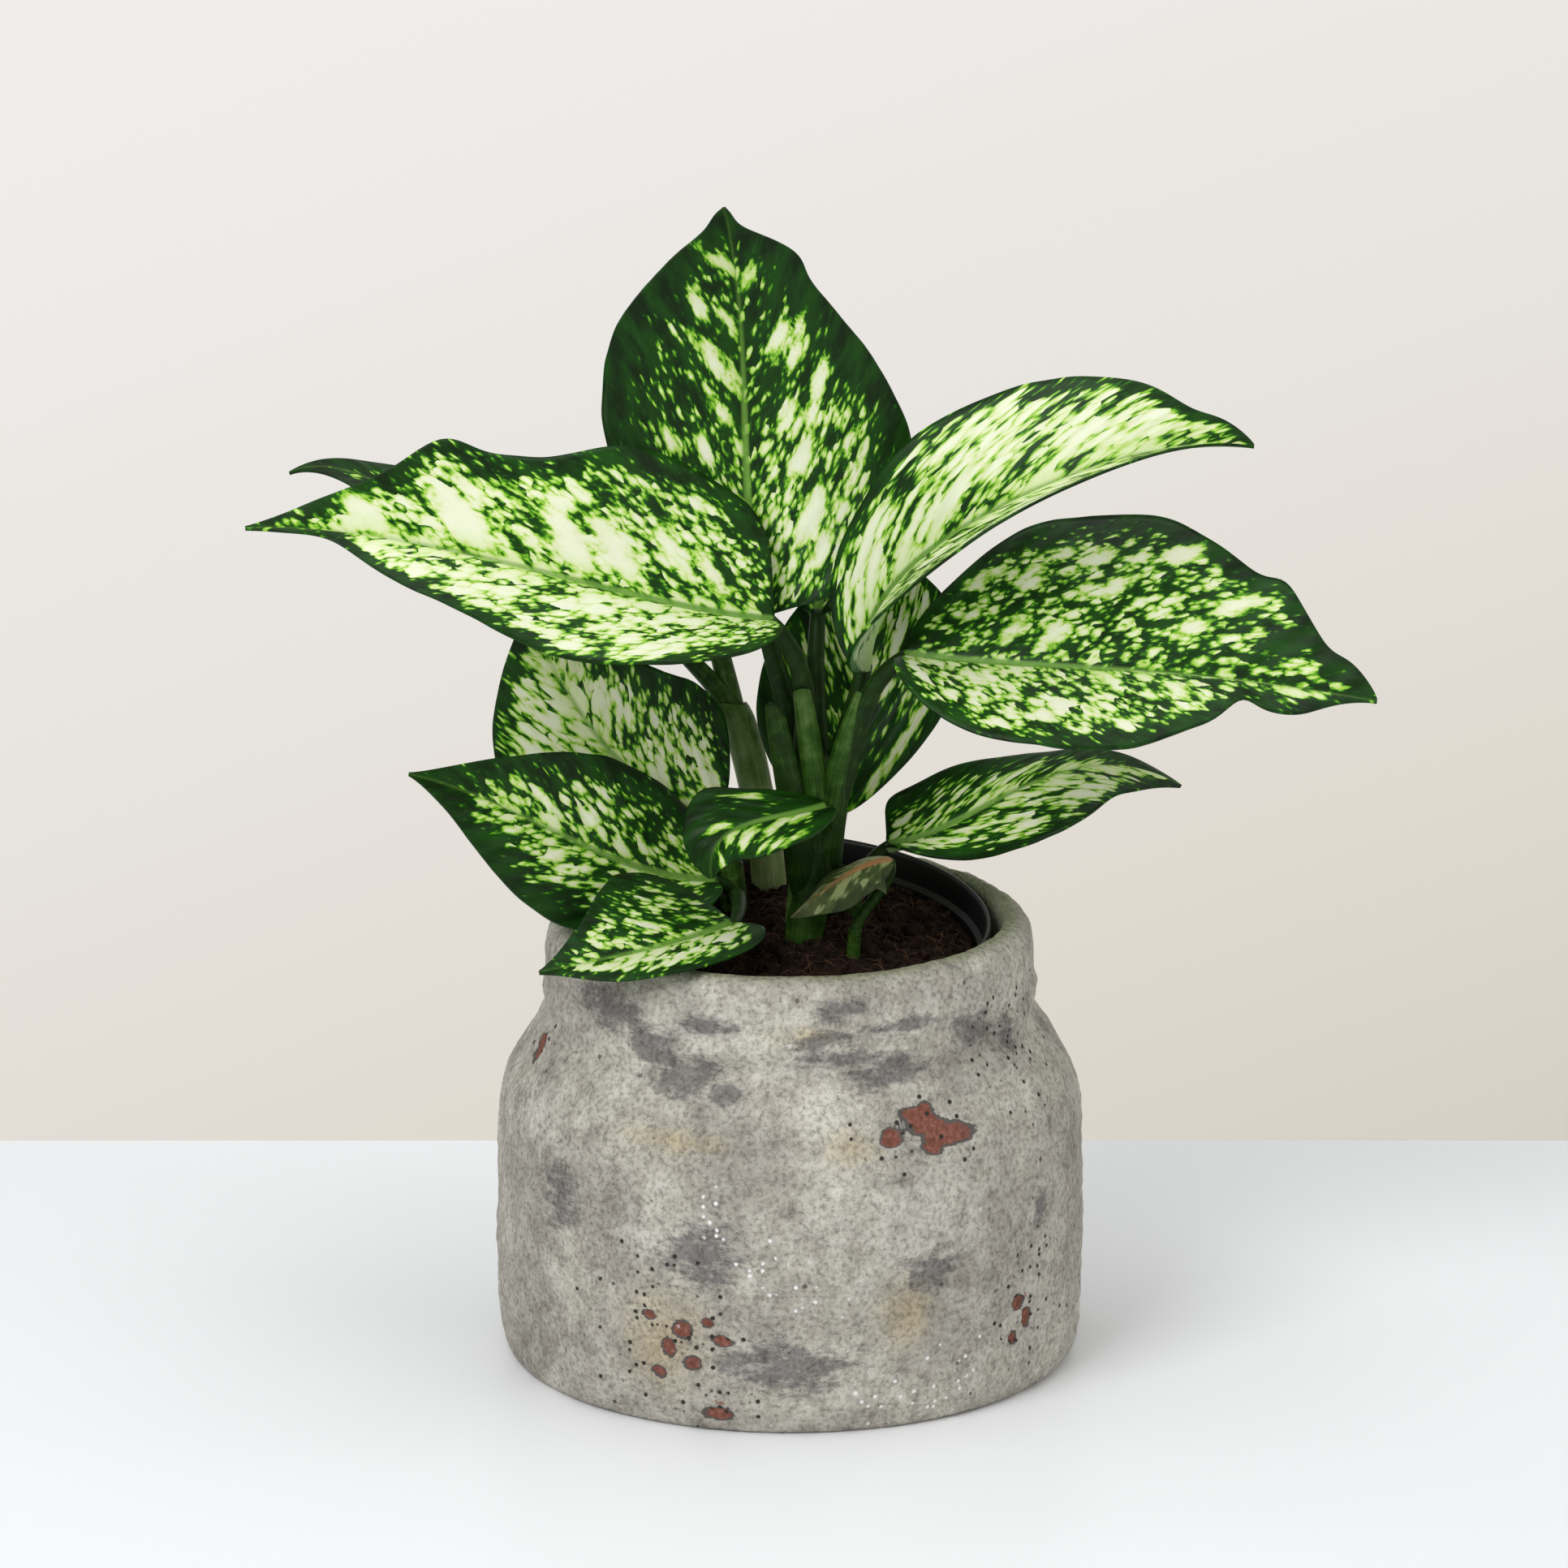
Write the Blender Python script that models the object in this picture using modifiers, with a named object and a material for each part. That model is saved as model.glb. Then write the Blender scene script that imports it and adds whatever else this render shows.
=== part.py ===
# Potted Chinese evergreen: a leafy plant in a plastic nursery pot, inside a crusted terracotta jar.
# The jar's axis is the Z axis, its underside is at z = 0, and the plant's front looks along -Y.

import math

import bmesh
import bpy
from mathutils import Vector, noise

MM = 0.001

# Gap between touching nodes, in millimetres
GAP = 0.3

# Driving dimensions of the jar, in millimetres
JAR_HEIGHT = 132.6
JAR_RIM_RADIUS = 71.8
JAR_MOUTH_RADIUS = 62.4
JAR_BELLY_RADIUS = 86.8
JAR_FOOT_RADIUS = 82.0
JAR_WALL = 8.0
JAR_FLOOR = 10.0
JAR_STEPS = 48

# Driving dimensions of the nursery pot, a 12 cm one, in millimetres
NURSERY_RIM_RADIUS = 60.0
NURSERY_FLOOR_RADIUS = 44.0
NURSERY_HEIGHT = 118.0
NURSERY_WALL = 1.2
NURSERY_FLOOR = 1.6
NURSERY_STEP = 2.2
NURSERY_RIM_BAND = 9.0
NURSERY_CENTRE = (-0.6, -0.4, 133.2)
NURSERY_LEAN_BACK = 6.0
NURSERY_LEAN_SIDE = 3.5
NURSERY_STEPS = 36

# The soil stands this far below the nursery pot's rim at its wall, and rises by the dome in the middle
SOIL_BELOW_RIM = 10.0
SOIL_DOME = 3.5
SOIL_SIDE_GAP = 0.45
SOIL_RINGS = 7
SOIL_CALM_EDGE = 6.5
SOIL_LUMP = 2.6
SOIL_LUMP_SIZE = 9.0
SOIL_SEED_OFFSET = (3.1, 7.7, 1.9)

# Thickness of a leaf at its rib and in the blade, and its half width where the stalk meets it
RIB_THICKNESS = 2.4
BLADE_THICKNESS = 0.8
LEAF_BASE_HALF = 1.5
LEAF_TIP_HALF = 0.5
RIB_FILLET = 0.12

# How round the outline is towards the stalk: 1 is a plain sine, and less is rounder
BASE_ROUNDNESS = 0.6

LEAF_ROWS = 12
LEAF_COLUMNS = (-1.0, -0.72, -0.42, -0.13, 0.0, 0.13, 0.42, 0.72, 1.0)

# The leaves, in millimetres and degrees. midrib: points that the rib runs through, from the stalk to
# the tip. face: where the upper side looks, at the base and at the tip. Pairs of numbers are for the
# right and the left half, as seen from above with the tip ahead. half: greatest half width. belly: where
# along the leaf that is. sharp: how finely the outline runs out to the tip. rise: the angle at which
# each half leaves the rib, curl: how much further it has turned at its edge, and cup: how much more it
# rises at the base. lobe: how far the blade reaches back beside the stalk. wave: the height of the
# edge's waves, how many there are, and where they start.
LEAVES = {
    "leaf_crown": dict(
        midrib=[(-8, 2, 222), (-12.5, 13, 260), (-14, 17, 300.5), (-19, 8, 342)],
        face=[(0.1, -1, 0.1), (0.0, -1, 0.3)], half=(49, 42), belly=(0.38, 0.52), sharp=(1.05, 0.75),
        rise=(14, 14), curl=(-8, -10), cup=(0, 0), lobe=(8, 0), wave=(1.2, 2.0, 0.1)),
    "leaf_left_high": dict(
        midrib=[(-4.3, -12, 224.5), (-49.9, -24, 236.5), (-103.3, -31, 251.6), (-156.1, -34, 257.9)],
        face=[(0.0, -0.7, 0.7), (0.0, -0.8, 0.6)], half=(43, 36), belly=(0.34, 0.40), sharp=(1.25, 1.7),
        rise=(14, 28), curl=(-4, -4), cup=(0, 24), lobe=(12, 4), wave=(2.4, 2.5, 0.3)),
    "leaf_left_back": dict(
        midrib=[(-30.6, 30, 204), (-58, 36, 219), (-89, 42, 234), (-120, 45, 250.5), (-147.6, 46, 253.8)],
        face=[(0.1, -0.2, 1), (0.0, -0.3, 1)], half=(28, 28), belly=(0.4, 0.4), sharp=(1.4, 1.4),
        rise=(8, 8), curl=(-10, -10), cup=(0, 0), lobe=(4, 4), wave=(1.5, 2.0, 0.2)),
    "leaf_back_left": dict(
        midrib=[(-25, 42, 224), (-22, 68, 237), (-18, 95, 243), (-14, 120, 238)],
        face=[(0.0, -0.2, 1), (0.0, 0.1, 1)], half=(34, 34), belly=(0.4, 0.4), sharp=(1.1, 1.1),
        rise=(10, 10), curl=(-14, -14), cup=(10, 10), lobe=(6, 6), wave=(1.5, 2.0, 0.6)),
    "leaf_left_mid": dict(
        midrib=[(-20, 12.5, 156), (-45, 15, 169), (-63.5, 17, 192), (-77, 18, 219)],
        face=[(0.1, -1, 0.4), (0.0, -1, 0.3)], half=(33, 33), belly=(0.42, 0.48), sharp=(1.0, 1.0),
        rise=(6, 6), curl=(-8, -8), cup=(0, 0), lobe=(2, 2), wave=(1.0, 2.0, 0.1)),
    "leaf_left_low": dict(
        midrib=[(-21, 2, 141.5), (-50.5, -10, 151.5), (-78.5, -18, 167.5), (-110.5, -22, 181)],
        face=[(0.0, -0.8, 0.6), (0.0, -0.9, 0.5)], half=(28, 27), belly=(0.4, 0.45), sharp=(1.2, 1.2),
        rise=(8, 14), curl=(-6, -8), cup=(0, 40), lobe=(6, 4), wave=(1.0, 1.5, 0.2)),
    "leaf_back_centre": dict(
        midrib=[(15, 10, 160), (18.5, 22, 184), (20, 34, 209), (18, 42, 233)],
        face=[(0.0, -1, 0.2), (0.0, -1, 0.3)], half=(31, 29), belly=(0.6, 0.4), sharp=(0.8, 0.9),
        rise=(10, 10), curl=(-6, -6), cup=(0, 0), lobe=(0, 0), wave=(1.0, 2.0, 0.4)),
    "leaf_back_right": dict(
        midrib=[(8, 10, 221), (14, 38, 240), (21, 68, 247), (27, 97, 241)],
        face=[(0.0, -0.2, 1), (0.0, 0.1, 1)], half=(30, 30), belly=(0.4, 0.4), sharp=(1.1, 1.1),
        rise=(10, 10), curl=(-14, -14), cup=(10, 10), lobe=(4, 4), wave=(1.5, 2.0, 0.1)),
    "leaf_front": dict(
        midrib=[(11.1, -14, 169.2), (-5.5, -28, 169.4), (-18.8, -36, 166.3), (-22.6, -40, 154.6)],
        face=[(0.1, -0.3, 1), (-0.6, -0.6, 0.4)], half=(17, 17), belly=(0.54, 0.5), sharp=(0.8, 0.9),
        rise=(10, 10), curl=(-10, -10), cup=(10, 10), lobe=(2, 2), wave=(0.8, 1.5, 0.2)),
    "leaf_front_left": dict(
        midrib=[(-16.1, -24, 136.9), (-33.6, -45, 137), (-52.2, -56, 135.7), (-72.2, -60, 132.6)],
        face=[(0.0, -0.5, 1), (0.0, -0.6, 1)], half=(29, 19), belly=(0.32, 0.4), sharp=(1.15, 1.2),
        rise=(16, 22), curl=(-10, -10), cup=(0, 0), lobe=(4, 22), wave=(0.8, 1.5, 0.2)),
    "leaf_right_high": dict(
        midrib=[(21, -6, 208), (32, -12, 237), (57, -20, 258.5), (92, -26, 275.5), (133, -28, 280.5)],
        face=[(-0.5, -0.85, 0.1), (0.0, -0.7, 0.8)], half=(26, 31.5), belly=(0.42, 0.56), sharp=(1.1, 0.85),
        rise=(54, 14), curl=(8, -8), cup=(30, 20), lobe=(2, 2), wave=(1.5, 2.0, 0.2)),
    "leaf_right": dict(
        midrib=[(32.6, -18, 215.9), (71.7, -30, 216), (113.6, -36, 214.8), (168.9, -38, 207.4)],
        face=[(0.0, -0.7, 0.8), (0.0, -0.6, 0.8)], half=(35, 53), belly=(0.40, 0.53), sharp=(1.35, 0.74),
        rise=(12, 10), curl=(-6, -10), cup=(40, 10), lobe=(12, 8), wave=(2.0, 2.5, 0.3)),
    "leaf_right_low": dict(
        midrib=[(28.5, 18, 147.8), (54.2, 14, 159), (82.6, 10, 173.1), (114.9, 6, 169.3)],
        face=[(0.1, -0.8, 0.6), (0.0, -0.4, 1)], half=(24, 20), belly=(0.6, 0.25), sharp=(1.0, 0.85),
        rise=(10, -8), curl=(-6, -20), cup=(70, 10), lobe=(2, 5), wave=(1.5, 2.0, 0.3)),
    "leaf_old": dict(
        midrib=[(30, -13, 153.2), (20.5, -21, 152.8), (10.5, -27.5, 148.2), (0.2, -30, 140)],
        face=[(0.0, -0.3, 1), (-0.2, -0.3, 1)], half=(12, 11), belly=(0.3, 0.36), sharp=(0.9, 0.8),
        rise=(-15, -35), curl=(-20, -25), cup=(0, 0), lobe=(40, 30), wave=(0.8, 2.0, 0.1)),
}

# The stems and the stalks that are one body with them. Each stem: points that it runs through, and its
# radius at both ends. Each stalk: its leaf, the point where it leaves the stem, the way it leaves, and
# its radius there and at the leaf.
STEMS = {
    "stem_main": dict(
        path=[(3.6, -7, 95), (4, -7, 127), (8, -5, 150), (8.7, -4, 182)], radii=(5.2, 6.6),
        stalks=[
            ("leaf_crown", (6, -2, 168), (-0.2, 0.1, 1), (4.2, 2.3)),
            ("leaf_left_high", (5, -7, 164), (-0.1, -0.1, 1), (4.2, 2.3)),
            ("leaf_right_high", (11, -4, 168), (0.2, 0.0, 1), (4.0, 2.4)),
            ("leaf_right", (11, -7, 164), (0.5, -0.2, 1), (4.0, 2.4)),
            ("leaf_back_right", (9, -1, 170), (-0.1, 0.2, 1), (3.8, 2.2)),
            ("leaf_front", (9, -6, 156), (0.3, -0.9, 1), (3.0, 1.8)),
            ("leaf_back_centre", (10, -3, 142), (0.4, 0.6, 1), (3.0, 2.0)),
        ]),
    "stem_left": dict(
        path=[(-5.5, 31, 95), (-5.5, 31, 127), (-9.9, 31, 164), (-16.3, 32, 185)], radii=(4.6, 4.2),
        stalks=[
            ("leaf_left_back", (-15, 32, 180), (-0.4, 0.0, 1), (3.4, 2.4)),
            ("leaf_back_left", (-15.5, 32, 180), (-0.2, 0.2, 1), (3.4, 2.6)),
        ]),
    "shoot_left": dict(
        path=[(-16, 8, 95), (-16, 8, 127), (-16.5, 8, 136), (-17, 8, 144)], radii=(3.4, 3.2),
        stalks=[
            ("leaf_left_mid", (-16.8, 8, 139), (-0.2, 0.3, 1), (2.6, 2.0)),
            ("leaf_left_low", (-16.6, 7, 136), (-0.3, -0.6, 1), (2.6, 2.0)),
            ("leaf_front_left", (-16.4, 7, 134), (0.1, -0.8, 0.6), (2.6, 1.8)),
        ]),
    "shoot_right": dict(
        path=[(18, 10, 95), (18, 10, 124), (18.5, 10, 132), (19, 10, 138)], radii=(3.0, 2.6),
        stalks=[
            ("leaf_right_low", (18.6, 10, 134), (0.4, 0.2, 1), (2.2, 1.8)),
        ]),
    "shoot_front": dict(
        path=[(18, -19, 95), (18.3, -19, 118), (18.6, -19, 127), (19, -19, 133)], radii=(2.2, 1.9),
        stalks=[
            ("leaf_old", (18.8, -19, 129), (-0.1, 0.1, 1), (1.8, 1.5)),
        ]),
}

STEM_STEPS = 6
STALK_STEPS = 7

# A stalk's end stays this far from its leaf, its curve's handles are this share of its length, and it
# arrives between the leaf's own heading (0) and a straight line from its root (1)
STALK_CLEARANCE = 0.4
STALK_SHARE = 0.38
STALK_BEND = 0.5


def clear_scene():
    for thing in list(bpy.data.objects):
        bpy.data.objects.remove(thing, do_unlink=True)


def new_collection(name):
    collection = bpy.data.collections.new(name)
    bpy.context.scene.collection.children.link(collection)
    return collection


def new_material(name, colour, roughness):
    material = bpy.data.materials.new(name)
    material.use_nodes = True
    surface = material.node_tree.nodes["Principled BSDF"]
    surface.inputs["Base Color"].default_value = (*colour, 1.0)
    surface.inputs["Roughness"].default_value = roughness
    surface.inputs["Metallic"].default_value = 0.0
    return material


def add_object(name, mesh, collection, material=None):
    thing = bpy.data.objects.new(name, mesh)
    collection.objects.link(thing)
    if material:
        mesh.materials.clear()
        mesh.materials.append(material)
    return thing


def evaluated_mesh(thing):
    graph = bpy.context.evaluated_depsgraph_get()
    return bpy.data.meshes.new_from_object(thing.evaluated_get(graph))


def turned(name, profile, steps, collection, material):
    """Spin a profile of (radius, height) pairs in millimetres round the Z axis with a Screw modifier."""
    mesh = bpy.data.meshes.new(name)
    shape = bmesh.new()
    ring = [shape.verts.new((r * MM, 0.0, z * MM)) for r, z in profile]
    for first, second in zip(ring[:-1], ring[1:]):
        shape.edges.new((first, second))
    shape.to_mesh(mesh)
    shape.free()
    thing = add_object(name, mesh, collection, material)
    screw = thing.modifiers.new("turn", "SCREW")
    screw.steps = steps
    screw.render_steps = steps
    screw.use_merge_vertices = True
    screw.merge_threshold = 0.00001
    screw.use_smooth_shade = True
    return thing


def jar_profile():
    """The jar's section: floor, inside wall, lip, collar, shoulder, belly and foot."""
    inside = [(0, JAR_FLOOR), (JAR_BELLY_RADIUS - JAR_WALL - 8, JAR_FLOOR),
              (JAR_BELLY_RADIUS - JAR_WALL - 1, JAR_FLOOR + 8), (JAR_BELLY_RADIUS - JAR_WALL, 60),
              (JAR_BELLY_RADIUS - JAR_WALL - 2, 78), (71, 92), (65.5, 103), (JAR_MOUTH_RADIUS + 0.4, 112)]
    lip = [(JAR_MOUTH_RADIUS, 127.6), (JAR_MOUTH_RADIUS + 0.5, 131.2), (JAR_MOUTH_RADIUS + 2, JAR_HEIGHT),
           (66.8, 132.2), (69.5, 130), (71.2, 126.4)]
    collar = [(JAR_RIM_RADIUS, 121), (JAR_RIM_RADIUS + 0.4, 112), (JAR_RIM_RADIUS + 0.6, 105.2)]
    shoulder = [(74.2, 100.6), (78.4, 94), (82.4, 86.6), (84.9, 78), (86, 68)]
    belly = [(86.5, 54), (JAR_BELLY_RADIUS, 38), (86.5, 22), (85.8, 9), (84.6, 3)]
    foot = [(JAR_FOOT_RADIUS, 0), (0, 0)]
    return inside + lip + collar + shoulder + belly + foot


def nursery_profile():
    """The nursery pot's section about its own axis, with its rim's plane at height 0."""
    drop = NURSERY_HEIGHT
    bottom = NURSERY_FLOOR_RADIUS
    edge = NURSERY_RIM_RADIUS
    shoulder = edge - NURSERY_STEP
    inside = [(0, -drop + NURSERY_FLOOR), (bottom - NURSERY_WALL, -drop + NURSERY_FLOOR),
              (shoulder - NURSERY_WALL, -NURSERY_RIM_BAND), (edge - 1.9, -NURSERY_RIM_BAND + 1.2)]
    rim = [(edge - 1.6, -0.8), (edge - 1.0, 0), (edge - 0.3, -0.2), (edge, -0.9)]
    outside = [(edge - 0.3, -NURSERY_RIM_BAND), (shoulder, -NURSERY_RIM_BAND - 0.6), (bottom, -drop),
               (0, -drop)]
    return inside + rim + outside


def soil_profile():
    """The soil's section in the nursery pot's frame: domed top, sides clear of the pot, flat bottom."""
    floor = -NURSERY_HEIGHT + NURSERY_FLOOR + GAP
    shoulder = NURSERY_RIM_RADIUS - NURSERY_STEP
    slope = (shoulder - NURSERY_FLOOR_RADIUS) / (NURSERY_HEIGHT - NURSERY_RIM_BAND - NURSERY_FLOOR)
    top = -SOIL_BELOW_RIM
    side = shoulder - NURSERY_WALL - SOIL_SIDE_GAP
    edge = side - slope * (-top - NURSERY_RIM_BAND)
    rings = [edge * k / SOIL_RINGS for k in range(SOIL_RINGS)]
    dome = [(r, top + SOIL_DOME * (1.0 - (r / edge) ** 2)) for r in rings]
    lower = NURSERY_FLOOR_RADIUS - NURSERY_WALL - 2 * GAP
    return dome + [(edge, top), (lower, floor), (0, floor)]


def lean(thing):
    """Stand a piece of the nursery pot at its place and lean, back edge and left edge raised."""
    thing.location = Vector(NURSERY_CENTRE) * MM
    thing.rotation_euler = (math.radians(NURSERY_LEAN_BACK), math.radians(NURSERY_LEAN_SIDE), 0.0)


def roughen_soil(mesh):
    """Raise the top's inner rings into soft lumps; the outer ring stays clear of the pot's wall."""
    limit = (NURSERY_RIM_RADIUS - SOIL_CALM_EDGE) * MM
    floor = -0.5 * NURSERY_HEIGHT * MM
    shift = Vector(SOIL_SEED_OFFSET)
    for vertex in mesh.vertices:
        radius = math.hypot(vertex.co.x, vertex.co.y)
        if vertex.co.z > floor and radius < limit:
            lump = noise.noise(vertex.co / (SOIL_LUMP_SIZE * MM) + shift)
            vertex.co.z += SOIL_LUMP * MM * lump


def through(points, share):
    """The point at a share (0 to 1) of a smooth curve through evenly spaced points, and its heading."""
    count = len(points)
    knots = [k / (count - 1) for k in range(count)]

    def place(at):
        total = Vector((0.0, 0.0, 0.0))
        for i, point in enumerate(points):
            weight = 1.0
            for j, knot in enumerate(knots):
                if j != i:
                    weight *= (at - knot) / (knots[i] - knot)
            total += Vector(point) * weight
        return total

    step = 0.001
    heading = (place(share + step) - place(share - step)).normalized()
    return place(share) * MM, heading


def outline(share, belly, sharp):
    """Half width of a leaf at a share of its length, as a share of its greatest half width."""
    stretch = math.log(0.5) / math.log(belly)
    swell = max(math.sin(math.pi * min(max(share, 0.0), 1.0) ** stretch), 0.0)
    return swell ** (BASE_ROUNDNESS if share < belly else sharp)


def leaf_frame(leaf, share):
    """The rib's point, its heading, and the way the upper side faces there."""
    centre, heading = through(leaf["midrib"], share)
    first, last = (Vector(way).normalized() for way in leaf["face"])
    face = first.lerp(last, share)
    face = (face - heading * face.dot(heading)).normalized()
    return centre, heading, face


def leaf_point(leaf, along, across):
    """A point of the upper side: along 0 (base) to 1 (tip), across -1 (right edge) to 1 (left edge)."""
    centre, heading, face = leaf_frame(leaf, along)
    left = face.cross(heading)
    hand = 1 if across > 0 else 0
    reach = abs(across)
    widest = leaf["half"][hand]
    narrow = LEAF_TIP_HALF + (LEAF_BASE_HALF - LEAF_TIP_HALF) * (1.0 - along) ** 6
    half = narrow + (widest - narrow) * outline(along, leaf["belly"][hand], leaf["sharp"][hand])
    rise = math.radians(leaf["rise"][hand] + leaf["cup"][hand] * (1.0 - along) ** 5)
    curl = math.radians(leaf["curl"][hand]) or 0.001
    out = half * (math.sin(rise + curl * reach) - math.sin(rise)) / curl
    up = half * (math.cos(rise) - math.cos(rise + curl * reach)) / curl
    height, count, start = leaf["wave"]
    turns = 2.0 * math.pi * (count * along + start + 0.37 * hand)
    up += height * reach ** 2 * math.sin(turns) * 4.0 * along * (1.0 - along)
    back = leaf["lobe"][hand] * (out / widest) ** 2 * (1.0 - along) ** 4
    side = 1.0 if across > 0 else -1.0
    return centre + (left * out * side + face * up - heading * back) * MM


def leaf_rows(count):
    """Shares of the length where the rows of a leaf's grid lie, closer together near both ends."""
    turns = [math.pi * k / count for k in range(count + 1)]
    return [0.5 - 0.5 * math.cos(0.06 * (math.pi - turn) + turn if turn else 0.0) for turn in turns]


def make_leaf(name, leaf, collection, material):
    """A blade: an arched, waved sheet with a thicker rib below, split into triangles alike on both faces."""
    rows = leaf_rows(LEAF_ROWS)
    sheet = bmesh.new()
    bmesh.ops.create_grid(sheet, x_segments=LEAF_ROWS, y_segments=len(LEAF_COLUMNS) - 1, size=0.5)
    middle = (len(LEAF_COLUMNS) - 1) // 2
    ribs = sheet.verts.layers.deform.new()
    for vertex in sheet.verts:
        row = round((vertex.co.x + 0.5) * LEAF_ROWS)
        column = round((vertex.co.y + 0.5) * (len(LEAF_COLUMNS) - 1))
        across = LEAF_COLUMNS[column]
        vertex.co = leaf_point(leaf, rows[row], across)
        beside_rib = RIB_FILLET if abs(column - middle) == 1 else 0.0
        share = 1.0 if column == middle or row == 0 else beside_rib
        vertex[ribs][0] = share * (1.0 - rows[row])
    bmesh.ops.triangulate(sheet, faces=sheet.faces[:], quad_method="FIXED")
    mesh = bpy.data.meshes.new(name)
    sheet.to_mesh(mesh)
    sheet.free()
    thing = add_object(name, mesh, collection, material)
    thing.vertex_groups.new(name="rib")
    thick = thing.modifiers.new("thickness", "SOLIDIFY")
    thick.thickness = RIB_THICKNESS * MM
    thick.offset = -1.0
    thick.vertex_group = "rib"
    thick.thickness_vertex_group = BLADE_THICKNESS / RIB_THICKNESS
    mesh.shade_smooth()
    mesh.set_sharp_from_angle(angle=math.radians(50))
    return thing


def tube(name, points, radii, collection, sides=1):
    """A tapered round tube with filled caps along points in metres, as a welded mesh object."""
    curve = bpy.data.curves.new(name, "CURVE")
    curve.dimensions = "3D"
    curve.bevel_depth = 1.0
    curve.bevel_resolution = sides
    curve.use_fill_caps = True
    line = curve.splines.new("POLY")
    line.points.add(len(points) - 1)
    last = len(points) - 1
    for k, point in enumerate(points):
        line.points[k].co = (*point, 1.0)
        line.points[k].radius = (radii[0] + (radii[1] - radii[0]) * k / last) * MM
    drawn = bpy.data.objects.new(name + "_curve", curve)
    collection.objects.link(drawn)
    mesh = evaluated_mesh(drawn)
    shape = bmesh.new()
    shape.from_mesh(mesh)
    bmesh.ops.remove_doubles(shape, verts=shape.verts[:], dist=0.000001)
    bmesh.ops.recalc_face_normals(shape, faces=shape.faces[:])
    shape.to_mesh(mesh)
    shape.free()
    bpy.data.objects.remove(drawn, do_unlink=True)
    mesh.name = name
    return add_object(name, mesh, collection)


def stem_points(stem):
    return [through(stem["path"], k / STEM_STEPS)[0] for k in range(STEM_STEPS + 1)]


def stalk_points(stalk):
    """A Bezier curve from the stem to just short of its leaf, which it meets at an easy angle."""
    leaf_name, root, way, radii = stalk
    centre, heading, face = leaf_frame(LEAVES[leaf_name], 0.0)
    start = Vector(root) * MM
    target = centre - face * 0.5 * RIB_THICKNESS * MM
    chord = (target - start).normalized()
    arrival = heading.lerp(chord, STALK_BEND).normalized()
    tilt = math.sqrt(max(1.0 - arrival.dot(heading) ** 2, 0.0))
    end = target - heading * (STALK_CLEARANCE + radii[1] * tilt) * MM
    reach = STALK_SHARE * (end - start).length
    first = start + Vector(way).normalized() * reach
    second = end - arrival * reach
    points = []
    for k in range(STALK_STEPS + 1):
        t = k / STALK_STEPS
        s = 1.0 - t
        points.append(start * s ** 3 + first * 3 * s * s * t + second * 3 * s * t * t + end * t ** 3)
    return points


def join(name, pieces, collection, material):
    """One Boolean union of the pieces, applied, as a single object."""
    joined = new_collection(name + "_pieces")
    base = pieces[0]
    for piece in pieces[1:]:
        collection.objects.unlink(piece)
        joined.objects.link(piece)
    union = base.modifiers.new("union", "BOOLEAN")
    union.operation = "UNION"
    union.operand_type = "COLLECTION"
    union.collection = joined
    union.solver = "EXACT"
    mesh = evaluated_mesh(base)
    for piece in pieces:
        bpy.data.objects.remove(piece, do_unlink=True)
    bpy.data.collections.remove(joined)
    mesh.name = name
    thing = add_object(name, mesh, collection, material)
    mesh.shade_smooth()
    mesh.set_sharp_from_angle(angle=math.radians(40))
    return thing


def make_stem(name, stem, collection, material):
    """A stem and its stalks as one body."""
    pieces = [tube(name + "_core", stem_points(stem), stem["radii"], collection, sides=2)]
    for number, stalk in enumerate(stem["stalks"]):
        piece = tube(f"{name}_stalk_{number}", stalk_points(stalk), stalk[3], collection)
        pieces.append(piece)
    return join(name, pieces, collection, material)


def make_soil(collection, cutters, material):
    """The soil, cut with a plain hole for each stem."""
    blank = turned("soil_blank", soil_profile(), NURSERY_STEPS, collection, material)
    mesh = evaluated_mesh(blank)
    bpy.data.objects.remove(blank, do_unlink=True)
    roughen_soil(mesh)
    mesh.name = "soil"
    soil = add_object("soil", mesh, collection, material)
    lean(soil)
    for name, stem in STEMS.items():
        radii = tuple(radius + GAP for radius in stem["radii"])
        path = stem_points(stem)
        path[0] = path[0] - Vector((0.0, 0.0, GAP * MM))
        cutter = tube(name + "_hole", path, radii, cutters, sides=2)
        cutter.hide_render = True
        cutter.display_type = "WIRE"
        cut = soil.modifiers.new(name + "_hole", "BOOLEAN")
        cut.operation = "DIFFERENCE"
        cut.object = cutter
        cut.solver = "EXACT"
    return soil


def main():
    clear_scene()
    plant = new_collection("potted_chinese_evergreen")
    cutters = new_collection("cutters")
    crust = new_material("crusted_terracotta", (0.33, 0.32, 0.29), 0.9)
    plastic = new_material("black_polypropylene", (0.012, 0.012, 0.013), 0.45)
    peat = new_material("coir_and_peat", (0.03, 0.018, 0.012), 0.95)
    green_stem = new_material("green_stem", (0.03, 0.09, 0.02), 0.5)
    blade = new_material("variegated_leaf", (0.12, 0.3, 0.06), 0.4)
    old_blade = new_material("yellowing_leaf", (0.3, 0.36, 0.1), 0.5)

    turned("jar", jar_profile(), JAR_STEPS, plant, crust)
    nursery = turned("nursery_pot", nursery_profile(), NURSERY_STEPS, plant, plastic)
    lean(nursery)
    make_soil(plant, cutters, peat)
    for name, stem in STEMS.items():
        make_stem(name, stem, plant, green_stem)
    for name, leaf in LEAVES.items():
        make_leaf(name, leaf, plant, old_blade if name == "leaf_old" else blade)


main()
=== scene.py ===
# %% [markdown]
# # A potted Chinese evergreen
# A young leafy houseplant grows in a black nursery pot, and the nursery pot stands in a jar-shaped
# planter: terracotta under a thick, gritty coat of grey cement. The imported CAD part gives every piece
# its place. This lesson builds finer pieces over it, and a material for each real finish.

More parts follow.
